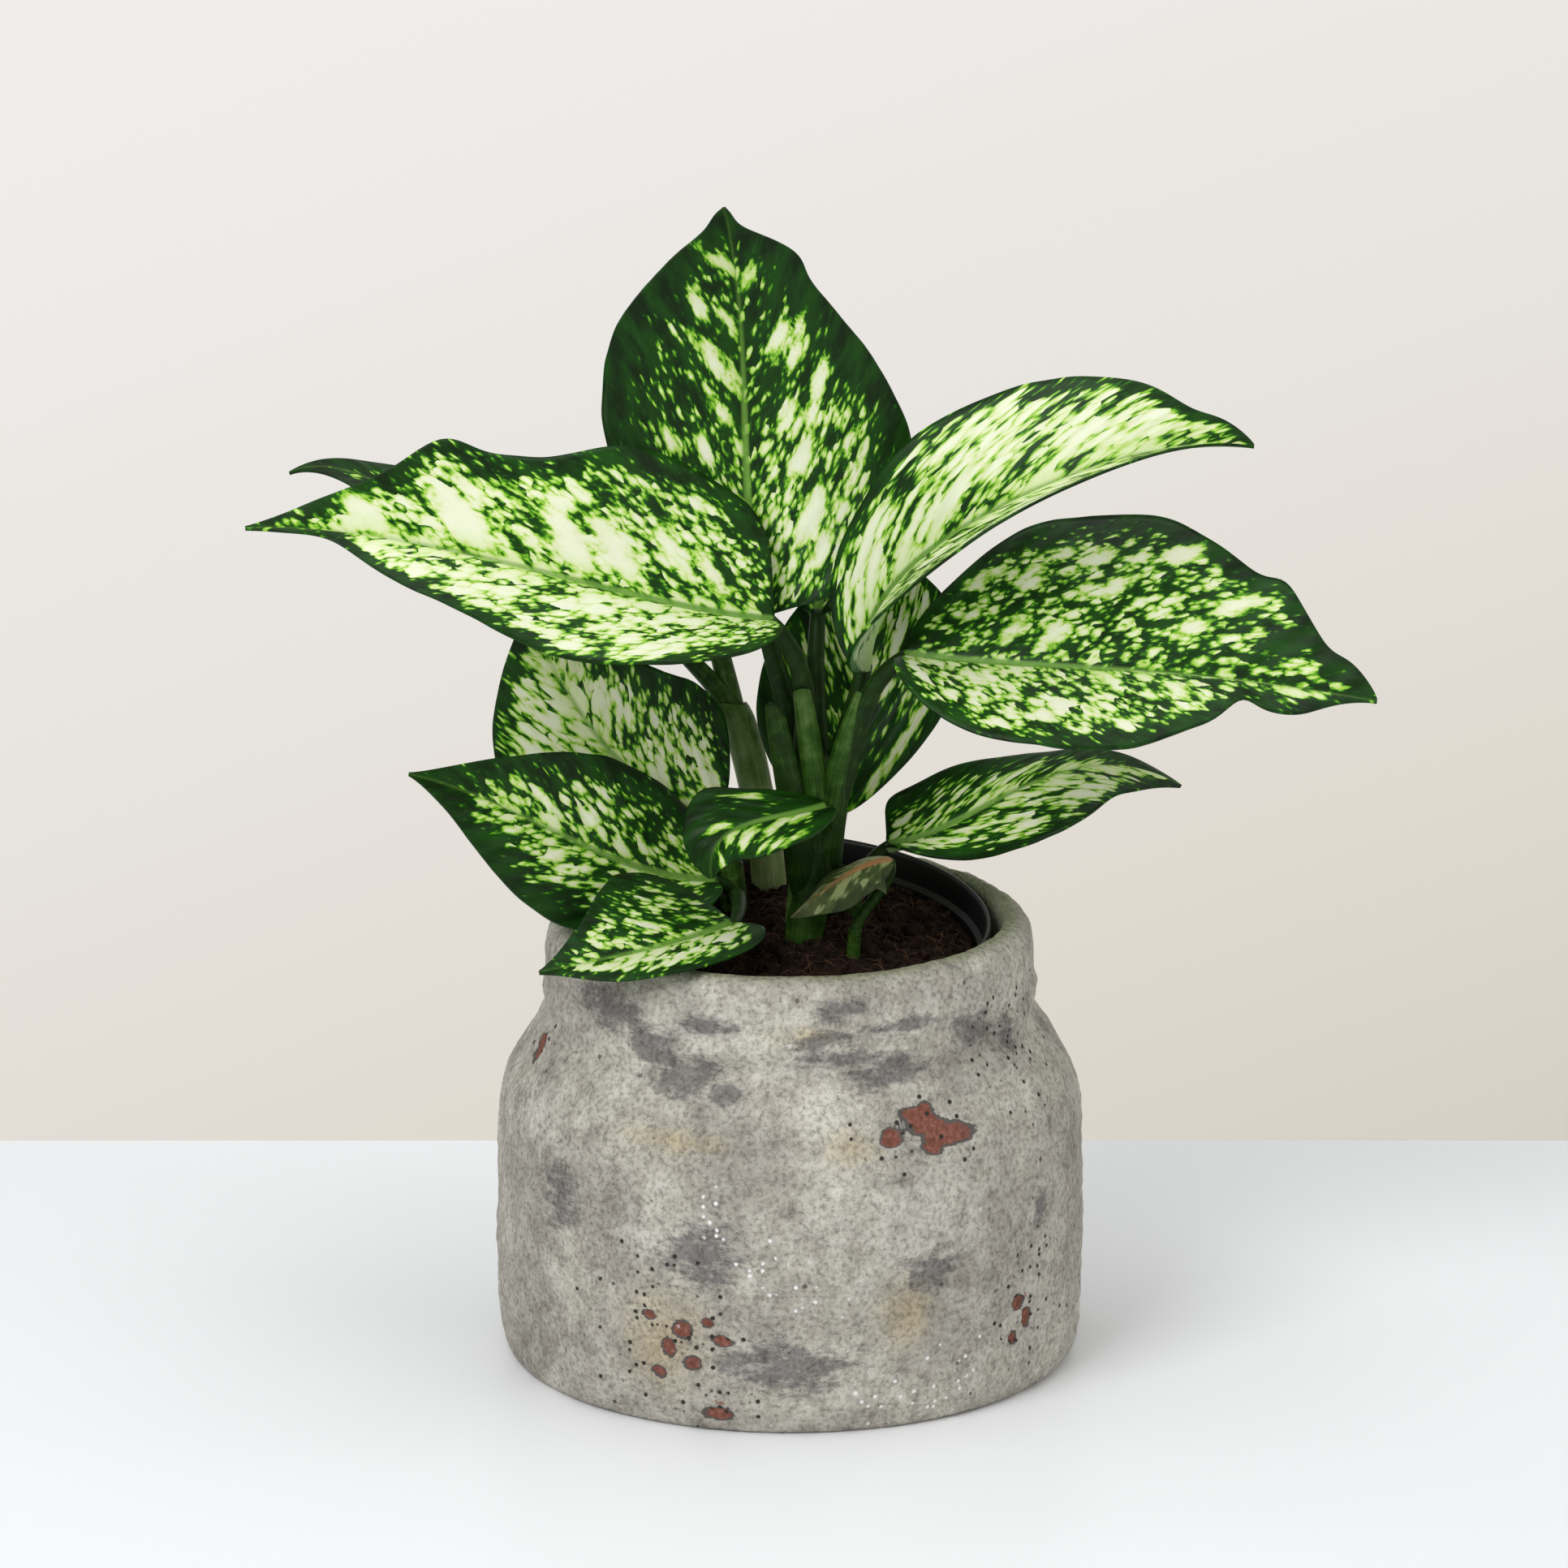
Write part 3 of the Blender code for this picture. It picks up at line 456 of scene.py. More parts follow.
def leaf_field(material, vein, edge, cream, margin):
    """Depth inside the nearest bright patch, in mm: above 0 is inside it, below 0 is in the green."""
    fray = add_node(material, "ShaderNodeTexNoise", {"Vector": vein, "Scale": 1.0 / FRAY_SIZE, "Detail": 2.0})
    centred = add_node(material, "ShaderNodeVectorMath", {0: fray.outputs["Color"], 1: (0.5, 0.5, 0.5)},
                       operation="SUBTRACT")
    frayed = add_node(material, "ShaderNodeVectorMath",
                      {0: centred, 1: (FRAY_REACH * 2.0, FRAY_REACH * 2.0, 0.0), 2: vein},
                      operation="MULTIPLY_ADD")
    broad = add_node(material, "ShaderNodeTexNoise", {"Vector": vein, "Scale": 0.07, "Detail": 2.0})
    broad = add_node(material, "ShaderNodeMath", {0: broad, 1: -0.5}, operation="ADD")
    uneven = add_node(material, "ShaderNodeMath", {0: broad, 1: 12.0, 2: edge}, operation="MULTIPLY_ADD")
    plain = add_node(material, "ShaderNodeMath", {0: uneven, 1: margin}, operation="DIVIDE")
    plain = add_node(material, "ShaderNodeMapRange",
                     {"Value": plain, "From Min": 0.3, "From Max": 2.2, "To Min": -0.7, "To Max": 0.0},
                     interpolation_type="SMOOTHSTEP")
    patch = add_node(material, "ShaderNodeAttribute", attribute_name="patch").outputs["Vector"]
    blot, shade, unused = add_node(material, "ShaderNodeSeparateXYZ", {0: patch}).outputs
    field = None
    for size, shift, spread, pull in SPOT_LAYERS:
        chance, distance = leaf_spots(material, frayed, size)
        amount = add_node(material, "ShaderNodeMath", {0: cream, 1: CREAM_GAIN, 2: shift},
                          operation="MULTIPLY_ADD")
        amount = add_node(material, "ShaderNodeMath", {0: plain, 1: pull, 2: amount}, operation="MULTIPLY_ADD")
        radius = add_node(material, "ShaderNodeMath", {0: chance, 1: amount}, operation="ADD")
        radius = add_node(material, "ShaderNodeMath", {0: radius, 1: spread}, operation="MULTIPLY")
        inside = add_node(material, "ShaderNodeMath", {0: radius, 1: distance}, operation="SUBTRACT")
        inside = add_node(material, "ShaderNodeMath", {0: inside, 1: size}, operation="MULTIPLY")
        field = inside if field is None else add_node(
            material, "ShaderNodeMath", {0: field, 1: inside, 2: 0.6}, operation="SMOOTH_MAX")
    chance, distance = leaf_spots(material, frayed, DARK_SIZE)
    held = add_node(material, "ShaderNodeMath", {0: cream, 1: -0.5, 2: -0.31}, operation="MULTIPLY_ADD")
    radius = add_node(material, "ShaderNodeMath", {0: chance, 1: held}, operation="ADD")
    outside = add_node(material, "ShaderNodeMath", {0: distance, 1: radius}, operation="SUBTRACT")
    outside = add_node(material, "ShaderNodeMath", {0: outside, 1: DARK_SIZE}, operation="MULTIPLY")
    field = add_node(material, "ShaderNodeMath", {0: field, 1: outside}, operation="MINIMUM")
    torn = add_node(material, "ShaderNodeTexNoise", {"Vector": vein, "Scale": 1.0 / TORN_SIZE, "Detail": 3.0})
    torn = add_node(material, "ShaderNodeMath", {0: torn, 1: -0.5}, operation="ADD")
    bright = add_node(material, "ShaderNodeMath", {0: torn, 1: TORN_REACH, 2: blot}, operation="MULTIPLY_ADD")
    field = add_node(material, "ShaderNodeMath", {0: field, 1: bright}, operation="MAXIMUM")
    dim = add_node(material, "ShaderNodeMath", {0: torn, 1: TORN_REACH, 2: shade}, operation="MULTIPLY_ADD")
    away = add_node(material, "ShaderNodeMath", {0: dim, 1: -1.0}, operation="MULTIPLY")
    field = add_node(material, "ShaderNodeMath", {0: field, 1: away}, operation="MINIMUM")
    fine = add_node(material, "ShaderNodeTexNoise", {"Vector": vein, "Scale": 1.0 / FINE_SIZE, "Detail": 2.0})
    return add_node(material, "ShaderNodeMath", {0: fine, 1: 2.2, 2: field}, operation="MULTIPLY_ADD")


def leaf_material(name, stops, dark, rib_colour, near_rib, roughness):
    material, shader = new_material(name, Roughness=roughness, Specular_IOR_Level=0.18, IOR=1.45)
    vein = add_node(material, "ShaderNodeAttribute", attribute_name="vein").outputs["Vector"]
    place = add_node(material, "ShaderNodeAttribute", attribute_name="place").outputs["Vector"]
    paint = add_node(material, "ShaderNodeAttribute", attribute_name="paint").outputs["Vector"]
    edge, rib, along = add_node(material, "ShaderNodeSeparateXYZ", {0: place}).outputs
    cream, margin, unused = add_node(material, "ShaderNodeSeparateXYZ", {0: paint}).outputs
    field = leaf_field(material, vein, edge, cream, margin)
    share = add_node(material, "ShaderNodeMapRange",
                     {"Value": field, "From Min": 1.1 - FIELD_SPAN, "From Max": 1.1 + FIELD_SPAN})
    blotches = add_node(material, "ShaderNodeValToRGB", {"Fac": share}, stops=stops)
    ground = add_node(material, "ShaderNodeTexNoise", {"Vector": vein, "Scale": 0.09, "Detail": 3.0})
    ground = add_node(material, "ShaderNodeMapRange", {"Value": ground, "From Min": 0.4, "From Max": 0.7})
    green = add_node(material, "ShaderNodeMapRange",
                     {"Value": share, "From Min": 0.25, "From Max": 0.45, "To Min": 0.8, "To Max": 0.0})
    green = add_node(material, "ShaderNodeMath", {0: green, 1: ground}, operation="MULTIPLY")
    shaded = add_node(material, "ShaderNodeMix", {"Factor": green, 6: blotches, 7: dark}, data_type="RGBA")
    lime = add_node(material, "ShaderNodeMapRange",
                    {"Value": rib, "From Min": 1.0, "From Max": 8.0, "To Min": 0.42, "To Max": 0.0})
    tinted = add_node(material, "ShaderNodeMix", {"Factor": lime, 6: shaded.outputs[2], 7: near_rib},
                      data_type="RGBA", blend_type="MULTIPLY")
    width = add_node(material, "ShaderNodeMath", {0: along, 1: -1.2, 2: 1.6}, operation="MULTIPLY_ADD")
    inside = add_node(material, "ShaderNodeMath", {0: rib, 1: width}, operation="SUBTRACT")
    line = add_node(material, "ShaderNodeMapRange",
                    {"Value": inside, "From Min": -0.5, "From Max": 0.25, "To Min": 1.0, "To Max": 0.0})
    fading = add_node(material, "ShaderNodeMapRange",
                      {"Value": along, "From Min": 0.35, "From Max": 0.85, "To Min": 0.9, "To Max": 0.2})
    line = add_node(material, "ShaderNodeMath", {0: line, 1: fading}, operation="MULTIPLY")
    painted = add_node(material, "ShaderNodeMix", {"Factor": line, 6: tinted.outputs[2], 7: rib_colour},
                       data_type="RGBA")
    link(material, painted.outputs[2], shader.inputs["Base Color"])
    return material


UPPER_STOPS = [(0.0, "#0a2204"), (0.32, "#0f2f06"), (0.41, "#1f520c"), (0.46, "#488a15"),
               (0.50, "#7bb42a"), (0.56, "#adcf60"), (0.635, "#cfdca2"), (0.75, "#dce2c0"), (0.95, "#e1e6cc")]
UNDER_STOPS = [(0.0, "#33593a"), (0.35, "#3d6640"), (0.48, "#62894f"), (0.58, "#98b07c"),
               (0.7, "#aec298")]
OLD_STOPS = [(0.0, "#27331d"), (0.4, "#3c4b29"), (0.5, "#5c6c43"), (0.6, "#7f8a61")]
leaf_upper = leaf_material("waxy_variegated_leaf_upper", UPPER_STOPS, "#1c4d0e", "#6b983e", "#d2ea86", 0.4)
leaf_under = leaf_material("waxy_variegated_leaf_under", UNDER_STOPS, "#5a8a4a", "#9dbd77", "#dcecb4", 0.55)
leaf_faded = leaf_material("faded_leaf", OLD_STOPS, "#4c5a30", "#8d6540", "#e6d9a0", 0.55)

# %% Make the leaves
for number, (name, leaf) in enumerate(LEAVES.items()):
    old = name == "leaf_old"
    made = build_leaf(name, leaf, number + 1.0, leaf_faded if old else leaf_upper,
                      leaf_faded if old else leaf_under)
    place_piece(made, "yellowing_leaf" if old else "variegated_leaf", name)
print("leaves built, each", LEAF_ROWS * LEAF_COLUMNS, "quads before its thickness")

# %% [markdown]
# ## Stems, stalks and sheaths
# Each leaf hangs on a round stalk that grows out of a fleshy stem. The lower part of a stalk is a
# sheath, a pale open gutter that wraps the younger stalks. A stalk is a grid rolled into a tube along
# a curve, and a sheath is the same grid left open, with a rounded top.

# %% Measures of the stems
STEMS = {
    "stem_main": dict(
        path=[(3.6, -7, 95), (4, -7, 127), (8, -5, 150), (8.7, -4, 182)], radii=(5.2, 6.6),
        stalks=[
            ("leaf_crown", (6, -2, 168), (-0.2, 0.1, 1), (4.2, 2.3)),
            ("leaf_left_high", (5, -7, 164), (-0.1, -0.1, 1), (4.2, 2.3)),
            ("leaf_right_high", (11, -4, 168), (0.2, 0.0, 1), (4.0, 2.4)),
            ("leaf_right", (11, -7, 164), (0.5, -0.2, 1), (4.0, 2.4)),
            ("leaf_back_right", (9, -1, 170), (-0.1, 0.2, 1), (3.8, 2.2)),
            ("leaf_front", (9, -6, 156), (0.3, -0.9, 1), (3.0, 1.8)),
            ("leaf_back_centre", (10, -3, 142), (0.4, 0.6, 1), (3.0, 2.0)),
        ]),
    "stem_left": dict(
        path=[(-5.5, 31, 95), (-5.5, 31, 127), (-9.9, 31, 164), (-16.3, 32, 185)], radii=(4.6, 4.2),
        stalks=[
            ("leaf_left_back", (-15, 32, 180), (-0.4, 0.0, 1), (3.4, 2.4)),
            ("leaf_back_left", (-15.5, 32, 180), (-0.2, 0.2, 1), (3.4, 2.6)),
        ]),
    "shoot_left": dict(
        path=[(-16, 8, 95), (-16, 8, 127), (-16.5, 8, 136), (-17, 8, 144)], radii=(3.4, 3.2),
        stalks=[
            ("leaf_left_mid", (-16.8, 8, 139), (-0.2, 0.3, 1), (2.6, 2.0)),
            ("leaf_left_low", (-16.6, 7, 136), (-0.3, -0.6, 1), (2.6, 2.0)),
            ("leaf_front_left", (-16.4, 7, 134), (0.1, -0.8, 0.6), (2.6, 1.8)),
        ]),
    "shoot_right": dict(
        path=[(18, 10, 95), (18, 10, 124), (18.5, 10, 132), (19, 10, 138)], radii=(3.0, 2.6),
        stalks=[
            ("leaf_right_low", (18.6, 10, 134), (0.4, 0.2, 1), (2.2, 1.8)),
        ]),
    "shoot_front": dict(
        path=[(18, -19, 95), (18.3, -19, 118), (18.6, -19, 127), (19, -19, 133)], radii=(2.2, 1.9),
        stalks=[
            ("leaf_old", (18.8, -19, 129), (-0.1, 0.1, 1), (1.8, 1.5)),
        ]),
}
STALK_SHARE = 0.38
STALK_BEND = 0.5
STALK_STEPS = 28
STALK_SIDES = 20


def stalk_points(stalk):
    """A Bezier curve from the stem into the thick base of the leaf's rib."""
    leaf_name, root, way, radii = stalk
    centre, heading, face, halves = leaf_section(LEAVES[leaf_name], 0.0)
    start = Vector(root)
    target = centre - face * 0.5 * RIB_THICKNESS
    chord = (target - start).normalized()
    arrival = heading.lerp(chord, STALK_BEND).normalized()
    end = target + heading * radii[1] * 0.5
    reach = STALK_SHARE * (end - start).length
    first = start + Vector(way).normalized() * reach
    second = end - arrival * reach
    points = []
    for k in range(STALK_STEPS + 1):
        t = k / STALK_STEPS
        s = 1.0 - t
        points.append(start * s ** 3 + first * 3 * s * s * t + second * 3 * s * t * t + end * t ** 3)
    return points


# %% Roll a grid round a curve
def roll(shape, points, radius_at, turn=2.0 * math.pi, facing=(0, -1, 0), sides=STALK_SIDES,
         pale=(0.0, 0.0), rounding=0.0, slant=0.0):
    """Add a tube (or, with a smaller turn, a gutter that faces a way) to a bmesh, along points in mm."""
    last = len(points) - 1
    grid = bmesh.ops.create_grid(shape, x_segments=last, y_segments=sides, size=0.5)["verts"]
    along_layer = shape.verts.layers.float_vector.get("stalk")
    for vertex in grid:
        share = vertex.co.x + 0.5
        across = 2.0 * vertex.co.y
        share *= 1.0 - rounding * across * across - slant * across
        exact = share * last
        row = min(int(exact), last - 1)
        centre = points[row].lerp(points[row + 1], exact - row)
        ahead = (points[min(row + 2, last)] - points[max(row - 1, 0)]).normalized()
        front = Vector(facing)
        front = (front - ahead * front.dot(ahead)).normalized()
        side = ahead.cross(front)
        angle = across * 0.5 * turn
        radius = radius_at(share, angle)
        vertex.co = (centre + (front * math.cos(angle) + side * math.sin(angle)) * radius) * MM
        paleness = pale[0] + (pale[1] - pale[0]) * share
        vertex[along_layer] = (share * last, angle, paleness)
    return grid


def close_tube(shape, grid):
    """Weld the seam of a rolled tube and close its ends."""
    bmesh.ops.remove_doubles(shape, verts=grid, dist=0.00002)
    rims = [edge for edge in shape.edges if edge.is_boundary]
    bmesh.ops.holes_fill(shape, edges=rims, sides=0)


def new_stalk_shape():
    shape = bmesh.new()
    shape.verts.layers.float_vector.new("stalk")
    return shape


# %% [markdown]
# The stems are soft green tissue with a thin skin: pale and slightly translucent low down and in the
# sheaths, darker green towards the leaves, with fine streaks along their length. The whole ramp is
# made darker than that green: painted shade, for the shade the leaves cast over the stems and sheaths.

# %% Stem material
stem_skin_with_painted_shade, stem_shader = new_material("fleshy_green_stem_with_painted_shade", Roughness=0.45, Specular_IOR_Level=0.14)
stalk_place = add_node(stem_skin_with_painted_shade, "ShaderNodeAttribute", attribute_name="stalk").outputs["Vector"]
stalk_split = add_node(stem_skin_with_painted_shade, "ShaderNodeSeparateXYZ", {0: stalk_place})
streak_space = add_node(stem_skin_with_painted_shade, "ShaderNodeVectorMath", {0: stalk_place, 1: (0.12, 4.0, 1.0)},
                        operation="MULTIPLY")
streaks = add_node(stem_skin_with_painted_shade, "ShaderNodeTexNoise", {"Vector": streak_space, "Scale": 1.4, "Detail": 3.0})
spots = add_node(stem_skin_with_painted_shade, "ShaderNodeTexNoise", {"Vector": stalk_place, "Scale": 0.6, "Detail": 2.0})
streak_add = add_node(stem_skin_with_painted_shade, "ShaderNodeMath", {0: streaks, 1: 0.35, 2: stalk_split.outputs["Z"]},
                      operation="MULTIPLY_ADD")
spot_add = add_node(stem_skin_with_painted_shade, "ShaderNodeMath", {0: spots, 1: 0.35, 2: streak_add}, operation="MULTIPLY_ADD")
# dark stops: the stems' own green darkened as painted shade from the leaves above
stem_colour_with_painted_shade = add_node(stem_skin_with_painted_shade, "ShaderNodeValToRGB", {"Fac": spot_add},
                       stops=[(0.25, "#0e1f05"), (0.42, "#19330a"), (0.55, "#2f5016"), (0.7, "#557038"),
                              (0.85, "#7a8c58"), (1.0, "#a2aa7e")])
link(stem_skin_with_painted_shade, stem_colour_with_painted_shade.outputs[0], stem_shader.inputs["Base Color"])

# %% Make the stems
def tapered(radii, swell=0.0):
    """A radius that runs from one value to the other, with a slight swelling at the lower end."""
    def radius_at(share, angle):
        return radii[0] + (radii[1] - radii[0]) * share + swell * math.exp(-(share / 0.1) ** 2)
    return radius_at


PALE = {"stem_main": (0.22, 0.03), "stem_left": (0.6, 0.3), "shoot_left": (0.3, 0.08),
        "shoot_right": (0.2, 0.1), "shoot_front": (0.3, 0.15)}
for name, stem in STEMS.items():
    shape = new_stalk_shape()
    core = [through(stem["path"], k / 40)[0] for k in range(41)]
    grid = roll(shape, core, tapered(stem["radii"]), sides=28, pale=PALE[name])
    close_tube(shape, grid)
    for stalk in stem["stalks"]:
        grid = roll(shape, stalk_points(stalk), tapered(stalk[3]), pale=(PALE[name][1], 0.05))
        close_tube(shape, grid)
    bmesh.ops.recalc_face_normals(shape, faces=shape.faces[:])
    place_piece(finish_mesh("fine_" + name, shape, [stem_skin_with_painted_shade]), "green_stem", name)

# %% [markdown]
# Old sheaths stand like open gutters round the younger stalks, with a pointed, rounded or slanted top.
# Each one is rolled less than a full turn, wider below than above, and Solidify makes it 0.7 mm thick.

# %% The sheaths: points, facing, radii, turn in degrees, rounding and slant of the top, paleness
SHEATHS = [
    ([(7.8, -4.4, 148), (7.4, -8.2, 170), (5.6, -9.6, 188), (3.2, -10.2, 204)], (0, -1, 0.1), (5.2, 2.6), 200,
     0.05, 0.0, (0.05, 0.3)),
    ([(10, -4.4, 148), (13.4, -8.8, 173), (17.2, -11, 190), (21.3, -12.5, 203)], (0.3, -1, 0.1), (5.2, 2.2), 200,
     0.05, 0.04, (0.05, 0.28)),
    ([(5.5, -5, 138), (1.2, -9.2, 168), (-2.4, -11.5, 187), (-4.6, -13, 201)], (-0.5, -1, 0.1), (5.4, 2.8), 190,
     0.16, 0.0, (0.05, 0.1)),
    ([(1.6, -5, 112), (1.2, -6, 126), (1.6, -6, 140), (4.5, -4.4, 156)], (-0.3, -1, 0), (2.6, 2.2), 300,
     0.0, 0.0, (0.5, 0.2)),
    ([(-5.5, 31, 112), (-6.6, 31, 138), (-10.6, 31, 164), (-17.6, 32, 188)], (-0.2, -1, 0), (5.3, 4.8), 300,
     0.0, 0.07, (0.62, 0.34)),
    ([(-16, 8, 118), (-16.3, 8, 128), (-16.8, 8, 138), (-17.6, 8, 147)], (0.3, -1, 0), (4.2, 3.6), 220,
     0.1, 0.05, (0.35, 0.15)),
]
SHEATH_THICKNESS = 0.7
sheath_shape = new_stalk_shape()
for points, facing, radii, turn, rounding, slant, pale in SHEATHS:
    line = [through(points, k / 24)[0] for k in range(25)]
    grid = roll(sheath_shape, line, tapered(radii), turn=math.radians(turn), facing=facing, sides=24, pale=pale,
                rounding=rounding, slant=slant)
    faces = list({face for vertex in grid for face in vertex.link_faces})
    sheath_shape.normal_update()
    if sum(face.normal.dot(Vector(facing)) for face in faces) < 0.0:
        bmesh.ops.reverse_faces(sheath_shape, faces=faces)
sheaths = finish_mesh("leaf_sheaths", sheath_shape, [stem_skin_with_painted_shade])
sheath_wall = sheaths.modifiers.new("thickness", "SOLIDIFY")
sheath_wall.thickness = SHEATH_THICKNESS * MM
sheath_wall.offset = -1.0
place_piece(sheaths, "green_stem")
print(len(SHEATHS), "sheaths")

# %% [markdown]
# ## The jar
# The planter is thrown terracotta with a coat of sand and cement that was left rough and then aged:
# grey, gritty, with soft dents, dark damp marks under the neck, ochre stains, and flakes where the
# coat has come off the red clay. The section is spun round the jar's axis, and every point is then
# moved a little by noise, because such a coat is never even.

# %% The jar's section
JAR_PROFILE = [
    (0, 10), (40, 10), (70.8, 10), (77.8, 18), (78.8, 60), (76.8, 78), (71, 92), (65.5, 103),
    (62.8, 112), (62.4, 127.6), (62.9, 131.2), (64.4, 132.6), (66.8, 132.2), (69.5, 130), (71.2, 126.4),
    (71.8, 121), (72.2, 112), (72.4, 105.2), (74.2, 100.6), (78.4, 94), (82.4, 86.6), (84.9, 78),
    (86, 68), (86.5, 54), (86.8, 38), (86.5, 22), (85.8, 9), (84.6, 3), (82, 0), (40, 0), (0, 0)]


def smooth_section(corners, spacing):
    """Points about evenly spaced along a Catmull-Rom curve through the corners."""
    points = []
    last = len(corners) - 1
    for k in range(last):
        before, start, end, after = (Vector(corners[min(max(k + j, 0), last)]) for j in (-1, 0, 1, 2))
        count = max(int((end - start).length / spacing(start, end)), 1)
        chord = (end - start).length
        lead = (end - before).normalized() * chord
        trail = (after - start).normalized() * chord
        for j in range(count):
            t = j / count
            a = 2 * t ** 3 - 3 * t ** 2 + 1
            b = t ** 3 - 2 * t ** 2 + t
            c = -2 * t ** 3 + 3 * t ** 2
            d = t ** 3 - t ** 2
            points.append(start * a + lead * b + end * c + trail * d)
    points.append(Vector(corners[last]))
    return points


def jar_spacing(start, end):
    """Fine rows where the coat is seen, coarse ones on the floor and under the foot."""
    hidden = start.y < 100 and start.x < 79 or start.y <= 0.0
    return 6.0 if hidden else 1.25


# %% Marks on the jar, as blobs: which mark, angle from the front, height, width and height in mm
MARKS = [
    ("flake", 27, 93.2, 6.0, 2.3), ("flake", 30, 94.2, 3.0, 1.8), ("flake", 34, 86.2, 9.5, 3.0),
    ("flake", 30, 84.0, 4.0, 2.4), ("flake", 21, 86.5, 3.6, 1.2), ("flake", -74, 97.5, 3.2, 4.0),
    ("flake", -72, 91, 2.5, 2.5), ("flake", -21, 31, 3.2, 3.0), ("flake", -24, 25, 2.4, 3.0),
    ("flake", -13, 28.5, 3.0, 1.8), ("flake", -19, 21, 3.0, 2.4), ("flake", -28, 34, 2.4, 1.6),
    ("flake", -16, 34, 1.8, 1.6), ("flake", -26, 17, 2.6, 2.0), ("flake", -14, 6, 4.5, 2.2),
    ("flake", 50, 31, 2.6, 2.6), ("flake", 53, 25, 2.2, 3.2), ("flake", 49, 20, 1.8, 2.4),
    ("flake", 118, 70, 9.0, 5.0),
    ("flake", 151, 30, 6.0, 7.0), ("flake", -141, 88, 8.0, 4.0), ("flake", -108, 22, 5.0, 5.0),
    ("flake", 172, 104, 6.0, 3.0),
    ("pits", -24, 30, 16.0, 16.0), ("pits", 52, 30, 9.0, 16.0), ("pits", 26, 88, 17.0, 7.0),
    ("pits", -72, 96, 7.0, 9.0), ("pits", -12, 8, 16.0, 7.0), ("pits", 60, 104, 16.0, 14.0),
    ("pits", 150, 34, 18.0, 15.0), ("pits", 118, 72, 16.0, 9.0), ("pits", -140, 86, 16.0, 9.0),
    ("ochre", -24, 87, 20.0, 4.0), ("ochre", 12, 86, 9.0, 6.0), ("ochre", 23, 36, 9.0, 12.0),
    ("ochre", -25, 28, 15.0, 17.0), ("ochre", 5, 117, 14.0, 3.0), ("ochre", 100, 84, 18.0, 4.0),
    ("ochre", -120, 36, 14.0, 12.0), ("ochre", 165, 80, 20.0, 5.0),
    ("soot", -25, 104, 17.0, 7.0), ("soot", -46, 118, 20.0, 7.0), ("soot", -33, 111, 13.0, 8.0),
    ("soot", -14, 100, 8.0, 4.0), ("soot", -20, 119, 12.0, 3.0), ("soot", 30, 118, 16.0, 3.0),
    ("soot", 12, 110, 18.0, 3.0), ("soot", 22, 104, 18.0, 4.0), ("soot", 47, 111, 10.0, 6.0),
    ("soot", 7, 115, 12.0, 3.5), ("soot", 26, 106, 6.0, 5.0), ("soot", 60, 106, 6.0, 8.0),
    ("soot", 57, 58, 4.0, 8.0), ("soot", -18, 54, 14.0, 12.0), ("soot", 12, 124, 12.0, 3.5),
    ("soot", 28, 48, 10.0, 7.0), ("soot", -50, 62, 9.0, 12.0), ("soot", -2, 22, 22.0, 9.0),
    ("soot", 110, 110, 20.0, 8.0), ("soot", 150, 60, 16.0, 14.0), ("soot", -150, 112, 18.0, 7.0),
    ("soot", -100, 50, 14.0, 18.0), ("soot", -170, 26, 20.0, 9.0),
    # pale blobs: the coat's own paler patches; the three on the front middle (7, 10 and 25 degrees) are painted
    # light that brightens the front of the jar
    ("pale", 7, 97, 14.0, 8.0), ("pale", 25, 64, 16.0, 16.0), ("pale", -28, 58, 12.0, 8.0),
    ("pale", 10, 74, 12.0, 14.0), ("pale", -60, 84, 14.0, 10.0), ("pale", 130, 84, 18.0, 12.0),
    ("pale", -125, 70, 20.0, 14.0), ("pale", 172, 52, 16.0, 10.0),
    ("salt", -13, 68, 6.0, 6.0), ("salt", -7, 51, 5.0, 8.0), ("salt", 34, 15, 9.0, 7.0),
    ("salt", 22, 7, 14.0, 5.0), ("salt", 4, 42, 8.0, 5.0), ("salt", 140, 20, 14.0, 6.0),
    ("salt", -90, 70, 10.0, 8.0)]


def mark_strength(kind, angle, height):
    """How strongly a kind of mark shows at a place: 1 in the middle of a blob, 0 from its rim on."""
    strength = 0.0
    for mark, middle, level, wide, tall in MARKS:
        if mark == kind:
            turn = (angle - middle + 180.0) % 360.0 - 180.0
            across = math.radians(turn) * 84.0 / wide
            strength = max(strength, 1.0 - 0.5 * math.hypot(across, (height - level) / tall))
    return strength


# %% Build the jar
JAR_STEPS = 420


def coat_height(place, angle, height, outside):
    """How far the coat stands out here, in mm: dents, lumps and grit, and hollows where it flaked."""
    bulge = 0.75 * noise.noise(place / 30.0) + 0.5 * noise.noise(place / 13.0)
    grit = 0.45 * noise.noise(place / 5.5) + 0.24 * noise.noise(place / 2.6)
    neck = math.exp(-((height - 108.0) / 9.0) ** 2)
    throwing = 0.85 * neck * math.sin(height / 1.7 + 3.0 * noise.noise(place / 34.0))
    if not outside:
        return 0.35 * bulge + 0.5 * grit
    ragged = mark_strength("flake", angle, height) + 0.25 * noise.noise(place / 2.0)
    flaked = smoothstep(0.45, 0.62, ragged)
    return bulge + grit + throwing * 0.8 - 0.9 * flaked


